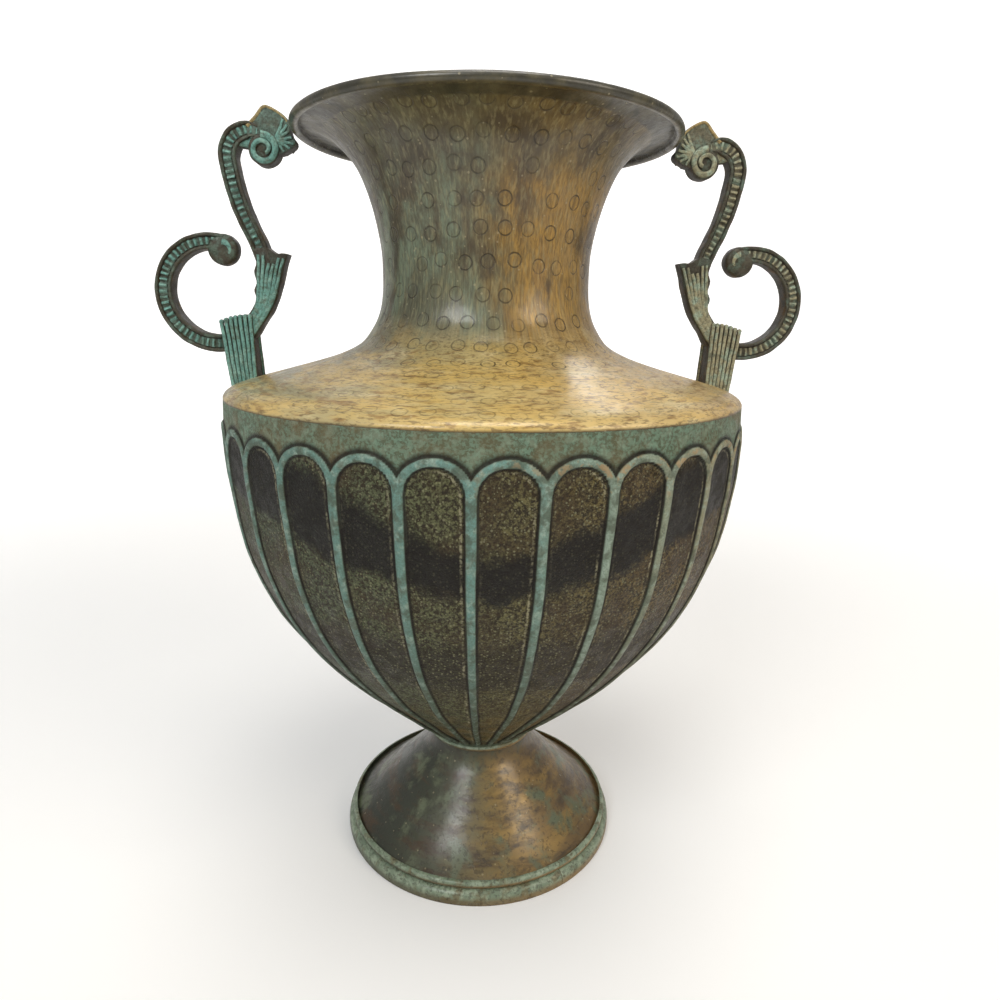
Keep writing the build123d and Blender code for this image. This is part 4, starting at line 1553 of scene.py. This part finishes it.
    def build(self, material: Material) -> Item:
        """Models the whole casting on its side of the vase.

        Args:
            material: its finish.

        Returns:
            The finished piece.
        """
        name = self.side.name.lower()
        piece = Workpiece(f"{name}_scroll_casting", ("relief",))
        stem = smooth_line(self.stem, self.band_step)
        self.band(piece, stem, lambda share: min(0.62 + share * 4.0, 1.0 - 0.12 * share), 0.55)
        scroll = arc_line(
            self.scroll_centre, self.scroll_radius, self.scroll_start, self.scroll_end, self.band_step
        )
        self.band(piece, scroll, lambda share: 1.0 - 0.1 * share, 1.0)
        self.boss(piece, self.volute_centre, self.volute_radius - 1.4, self.volute_depth - 0.9, 1.2)
        self.spiral(piece)
        self.boss(piece, self.curl_centre, self.curl_radius + 0.2, self.depth / 2.0, 3.2)
        for face in FACES:
            comma = arc_line(self.curl_centre, self.comma_radius, self.comma_start, self.comma_end, 0.6)
            path = [point + Vector((0.0, face * (self.depth / 2.0 - 0.4), 0.0)) for point in comma]
            piece.sweep(path, lambda share: self.oval(2.0 - 1.2 * share, 1.2 - 0.5 * share, 0.3))
        self.ridge(piece, self.leaf_root, (4.4, 2.0), (4.3, 4.0))
        self.leaf(piece)
        self.husk(piece)
        self.strap(piece)
        piece.roughen(0.3, 7.0)
        if self.side is Side.LEFT:
            half_turn = Matrix.Rotation(math.pi, 3, "Z")
            bmesh.ops.rotate(piece.bm, cent=(0.0, 0.0, 0.0), matrix=half_turn, verts=piece.bm.verts)
        return piece.finish(material, f"{name}_handle")


@dataclass
class Hardware:
    """Wire, bolt, nut, screws and washers, which keep their CAD shapes."""

    nodes: tuple[str, ...] = (
        "rim_wire", "foot_bolt", "belly_washer", "foot_washer", "foot_nut",
        "left_handle_screw", "right_handle_screw", "left_handle_washer", "right_handle_washer",
    )

    def dress(self, objects: dict[str, Item], material: Material) -> None:
        """Gives each node the finish.

        Args:
            objects: CAD objects by node name.
            material: the finish.
        """
        for name in self.nodes:
            node = objects[name]
            node.data.materials.clear()
            node.data.materials.append(material)
            LOG.info("%s: plain brass", name)


@dataclass(frozen=True)
class Lamp:
    """A round soft lamp: where it hangs and its width in metres, its power in watts and its colour."""

    name: str
    place: Point
    width: float
    power: float
    colour: Point
    target: Point = (0.0, 0.0, 0.25)

    def hang(self) -> None:
        """Hangs the lamp, pointed at the vase."""
        data = bpy.data.lights.new(self.name, "AREA")
        data.shape = "DISK"
        data.size = self.width
        data.energy = self.power
        data.color = self.colour
        lamp = bpy.data.objects.new(self.name, data)
        lamp.location = self.place
        aim = Vector(self.target) - Vector(self.place)
        lamp.rotation_euler = aim.to_track_quat("-Z", "Y").to_euler()
        bpy.context.scene.collection.objects.link(lamp)


@dataclass
class Studio:
    """Pale sweep, soft lamps and the camera at the photograph's viewing angle."""

    eye: Point = (-0.0157, -0.4495, 0.3540)
    yaw: float = 3.422
    pitch: float = 14.716
    roll: float = 1.133
    lens: float = 25.2
    sensor: float = 36.0
    half_floor: float = 9.0
    bend_centre: Pair = (1.4, 0.6)
    bend_radius: float = 0.6
    wall_top: Pair = (2.0, 4.0)
    lamps: tuple[Lamp, ...] = (
        Lamp("key_lamp", (-0.9, -1.4, 1.5), 0.9, 15.0, (0.97, 0.99, 1.0)),
        Lamp("warm_lamp", (1.3, -1.0, 1.2), 1.0, 10.0, (1.0, 0.9, 0.76)),
        Lamp("top_lamp", (0.05, -0.25, 1.7), 0.8, 9.0, (1.0, 0.97, 0.92)),
        Lamp("back_lamp", (0.2, 1.2, 1.4), 0.9, 5.0, (1.0, 1.0, 1.0)),
    )

    def camera(self) -> None:
        """Sets the camera up."""
        yaw, pitch, roll = (math.radians(angle) for angle in (self.yaw, self.pitch, self.roll))
        ahead = Vector((math.sin(yaw) * math.cos(pitch), math.cos(yaw) * math.cos(pitch), -math.sin(pitch)))
        level = Vector((math.cos(yaw), -math.sin(yaw), 0.0))
        upright = level.cross(ahead)
        right = level * math.cos(roll) + upright * math.sin(roll)
        up = upright * math.cos(roll) - level * math.sin(roll)
        data = bpy.data.cameras.new("photo_camera")
        data.lens = self.lens
        data.sensor_width = self.sensor
        camera = bpy.data.objects.new("photo_camera", data)
        axes = Matrix((right, up, -ahead)).transposed()
        camera.matrix_world = Matrix.Translation(self.eye) @ axes.to_4x4()
        bpy.context.scene.collection.objects.link(camera)
        bpy.context.scene.camera = camera

    def backdrop(self) -> None:
        """Lays the floor and runs it up into a backdrop in one sheet."""
        bm = bmesh.new()
        curve = arc_line(self.bend_centre, self.bend_radius, -90.0, 0.0, 0.08)
        line = [at(-self.half_floor, 0.0), *curve, at(*self.wall_top)]
        verts = [bm.verts.new((-self.half_floor, point.x, point.z)) for point in line]
        edges = [bm.edges.new(pair) for pair in zip(verts, verts[1:])]
        made = bmesh.ops.extrude_edge_only(bm, edges=edges)["geom"]
        fresh = [item for item in made if isinstance(item, BMVert)]
        bmesh.ops.translate(bm, vec=(2.0 * self.half_floor, 0.0, 0.0), verts=fresh)
        bmesh.ops.recalc_face_normals(bm, faces=bm.faces)
        mesh = bpy.data.meshes.new("studio_sweep")
        bm.to_mesh(mesh)
        bm.free()
        mesh.shade_smooth()
        material = bpy.data.materials.new("pale_sweep")
        material.use_nodes = True
        shader = material.node_tree.nodes["Principled BSDF"]
        shader.inputs["Base Color"].default_value = tone(240, 239, 237)
        shader.inputs["Roughness"].default_value = 0.9
        bench = NodeBench(material.node_tree)
        seen = bench.put("LightPath").outputs["Is Camera Ray"]
        away = bench.put("VectorMath", operation="LENGTH")
        bench.feed(away.inputs[0], bench.place())
        rise = bench.step(away.outputs["Value"], 0.35, 1.9, 0.14, 0.68)
        shader.inputs["Emission Color"].default_value = (1.0, 1.0, 1.0, 1.0)
        bench.feed(shader.inputs["Emission Strength"], bench.times(seen, rise))
        mesh.materials.append(material)
        sheet = bpy.data.objects.new("studio_sweep", mesh)
        bpy.context.scene.collection.objects.link(sheet)

    def world(self) -> None:
        """A dim even sky that the camera and transmission rays see as white."""
        world = bpy.data.worlds.new("studio_sky")
        world.use_nodes = True
        bpy.context.scene.world = world
        bench = NodeBench(world.node_tree)
        path = bench.put("LightPath")
        seen = bench.math("MAXIMUM", path.outputs["Is Camera Ray"], path.outputs["Is Transmission Ray"])
        back = world.node_tree.nodes["Background"]
        back.inputs["Color"].default_value = (1.0, 1.0, 1.0, 1.0)
        bench.feed(back.inputs["Strength"], bench.step(seen, 0.0, 1.0, 0.34, 1.0))

    def build(self) -> None:
        """Sets up camera, lamps, sky and sweep."""
        self.camera()
        for lamp in self.lamps:
            lamp.hang()
        self.world()
        self.backdrop()
        bpy.context.scene.view_settings.view_transform = "Standard"


def main() -> None:
    """Builds the vase's looks, piece by piece."""
    logging.basicConfig(level=logging.INFO, format="%(name)s %(message)s")
    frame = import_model()
    Studio().build()
    effects = Effects()
    neck = LacqueredNeck("streaked_lacquer", roughness=0.42, coat=0.55, coat_roughness=0.2, bump=0.0004)
    foot = LacqueredFoot("foot_lacquer", roughness=0.4, coat=0.5, coat_roughness=0.2, bump=0.0002)
    belly = FlutedPatina(
        "fluted_patina", roughness=0.5, coat=0.06, coat_roughness=0.3, specular=0.28, bump=0.0004
    )
    cast = CastVerdigris("cast_verdigris", roughness=0.55, coat=0.12, coat_roughness=0.4, bump=0.0003)
    ring = RingPatina("ring_patina", roughness=0.46, coat=0.3, coat_roughness=0.25, bump=0.0003)
    NeckAndShoulder().build(neck.material(effects))
    FlutedBelly().build(belly.material(effects))
    Foot().build(foot.material(effects), ring.material(effects))
    casting = cast.material(effects)
    for side in Side:
        ScrollHandle(side=side).build(casting)
    plain = PlainBrass("tarnished_brass", roughness=0.42)
    Hardware().dress(frame["nodes"], plain.material(effects))


if __name__ == "__main__":
    main()
